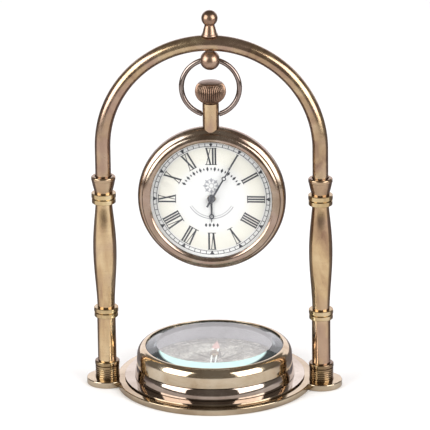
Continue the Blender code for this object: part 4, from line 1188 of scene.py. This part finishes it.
def build_studio():
    """Pale floor, soft boxes and surroundings that only the camera sees as white."""
    reach = 0.58
    floor_mesh = bpy.data.meshes.new("floor")
    rim = arc((0, 0.16), reach, 0, 360, 96)[:-1]
    floor_mesh.from_pydata([(x, y, 0) for x, y in rim], [], [list(range(len(rim)))])
    floor = bpy.data.objects.new("floor", floor_mesh)
    floor_mesh.materials.append(MATERIALS["floor"])
    bpy.context.scene.collection.objects.link(floor)

    world = bpy.data.worlds.new("studio")
    world.use_nodes = True
    bpy.context.scene.world = world
    tree = world.node_tree
    background = tree.nodes["Background"]
    background.inputs["Color"].default_value = (1.0, 0.93, 0.86, 1)
    background.inputs["Strength"].default_value = 0.21
    white = tree.nodes.new("ShaderNodeBackground")
    white.inputs["Color"].default_value = (1, 1, 1, 1)
    white.inputs["Strength"].default_value = 1.0
    path = tree.nodes.new("ShaderNodeLightPath")
    mixer = tree.nodes.new("ShaderNodeMixShader")
    tree.links.new(path.outputs["Is Camera Ray"], mixer.inputs["Fac"])
    tree.links.new(background.outputs[0], mixer.inputs[1])
    tree.links.new(white.outputs[0], mixer.inputs[2])
    tree.links.new(mixer.outputs[0], tree.nodes["World Output"].inputs["Surface"])

    aim = (0, 0, 0.06)
    for side, sign in (("left", -1), ("right", 1)):
        angle = math.radians(57)
        place = (sign * 0.95 * math.sin(angle), -0.95 * math.cos(angle), 0.44)
        add_area("softbox_" + side, place, aim, (0.76, 0.80), 10.0)
    add_area("back_wash", (0, 1.2, 0.36), (0, 0, 0.2), (2.1, 0.66), 5.4, (1.0, 0.95, 1.0))
    fill = add_area("overhead", (0, 0.35, 1.1), (0, 0.2, 0), (1.0, 0.8), 6.0)
    fill.visible_glossy = False


def build_camera():
    """Long lens, a little above the clock and a little to its right."""
    distance = 1.349
    lens_share = 4000 / 430  # focal length in widths of the picture
    yaw, lift, roll = math.radians(4.2), math.radians(18.52), math.radians(-0.77)
    back = Vector((math.sin(yaw) * math.cos(lift), -math.cos(yaw) * math.cos(lift), math.sin(lift)))
    right = (-back).cross(Vector((0, 0, 1))).normalized()
    up = right.cross(-back)
    level_right = right * math.cos(roll) + up * math.sin(roll)
    level_up = -right * math.sin(roll) + up * math.cos(roll)
    data = bpy.data.cameras.new("camera")
    data.sensor_width = 36
    data.lens = 36 * lens_share
    data.clip_start = 0.05
    data.clip_end = 20
    camera = bpy.data.objects.new("camera", data)
    aim = Vector((0.00097, COLUMN_Y, 0.0606))
    rotation = Matrix((level_right, level_up, back)).transposed().to_4x4()
    camera.matrix_world = Matrix.Translation(aim + back * distance) @ rotation
    bpy.context.scene.collection.objects.link(camera)
    bpy.context.scene.camera = camera


bpy.context.scene.view_settings.view_transform = "Standard"
build_camera()
build_studio()
build_plate()
build_columns()
build_arch()
build_finial()
build_ball()
build_bow()
build_case_middle()
build_case_bezel()
build_case_back()
build_crystal()
build_pendant()
build_crown()
build_dial()
build_hands()
build_flange()
build_bowl()
build_compass_bezel()
build_glass()
build_card()
build_needle()
finish_kept_nodes()
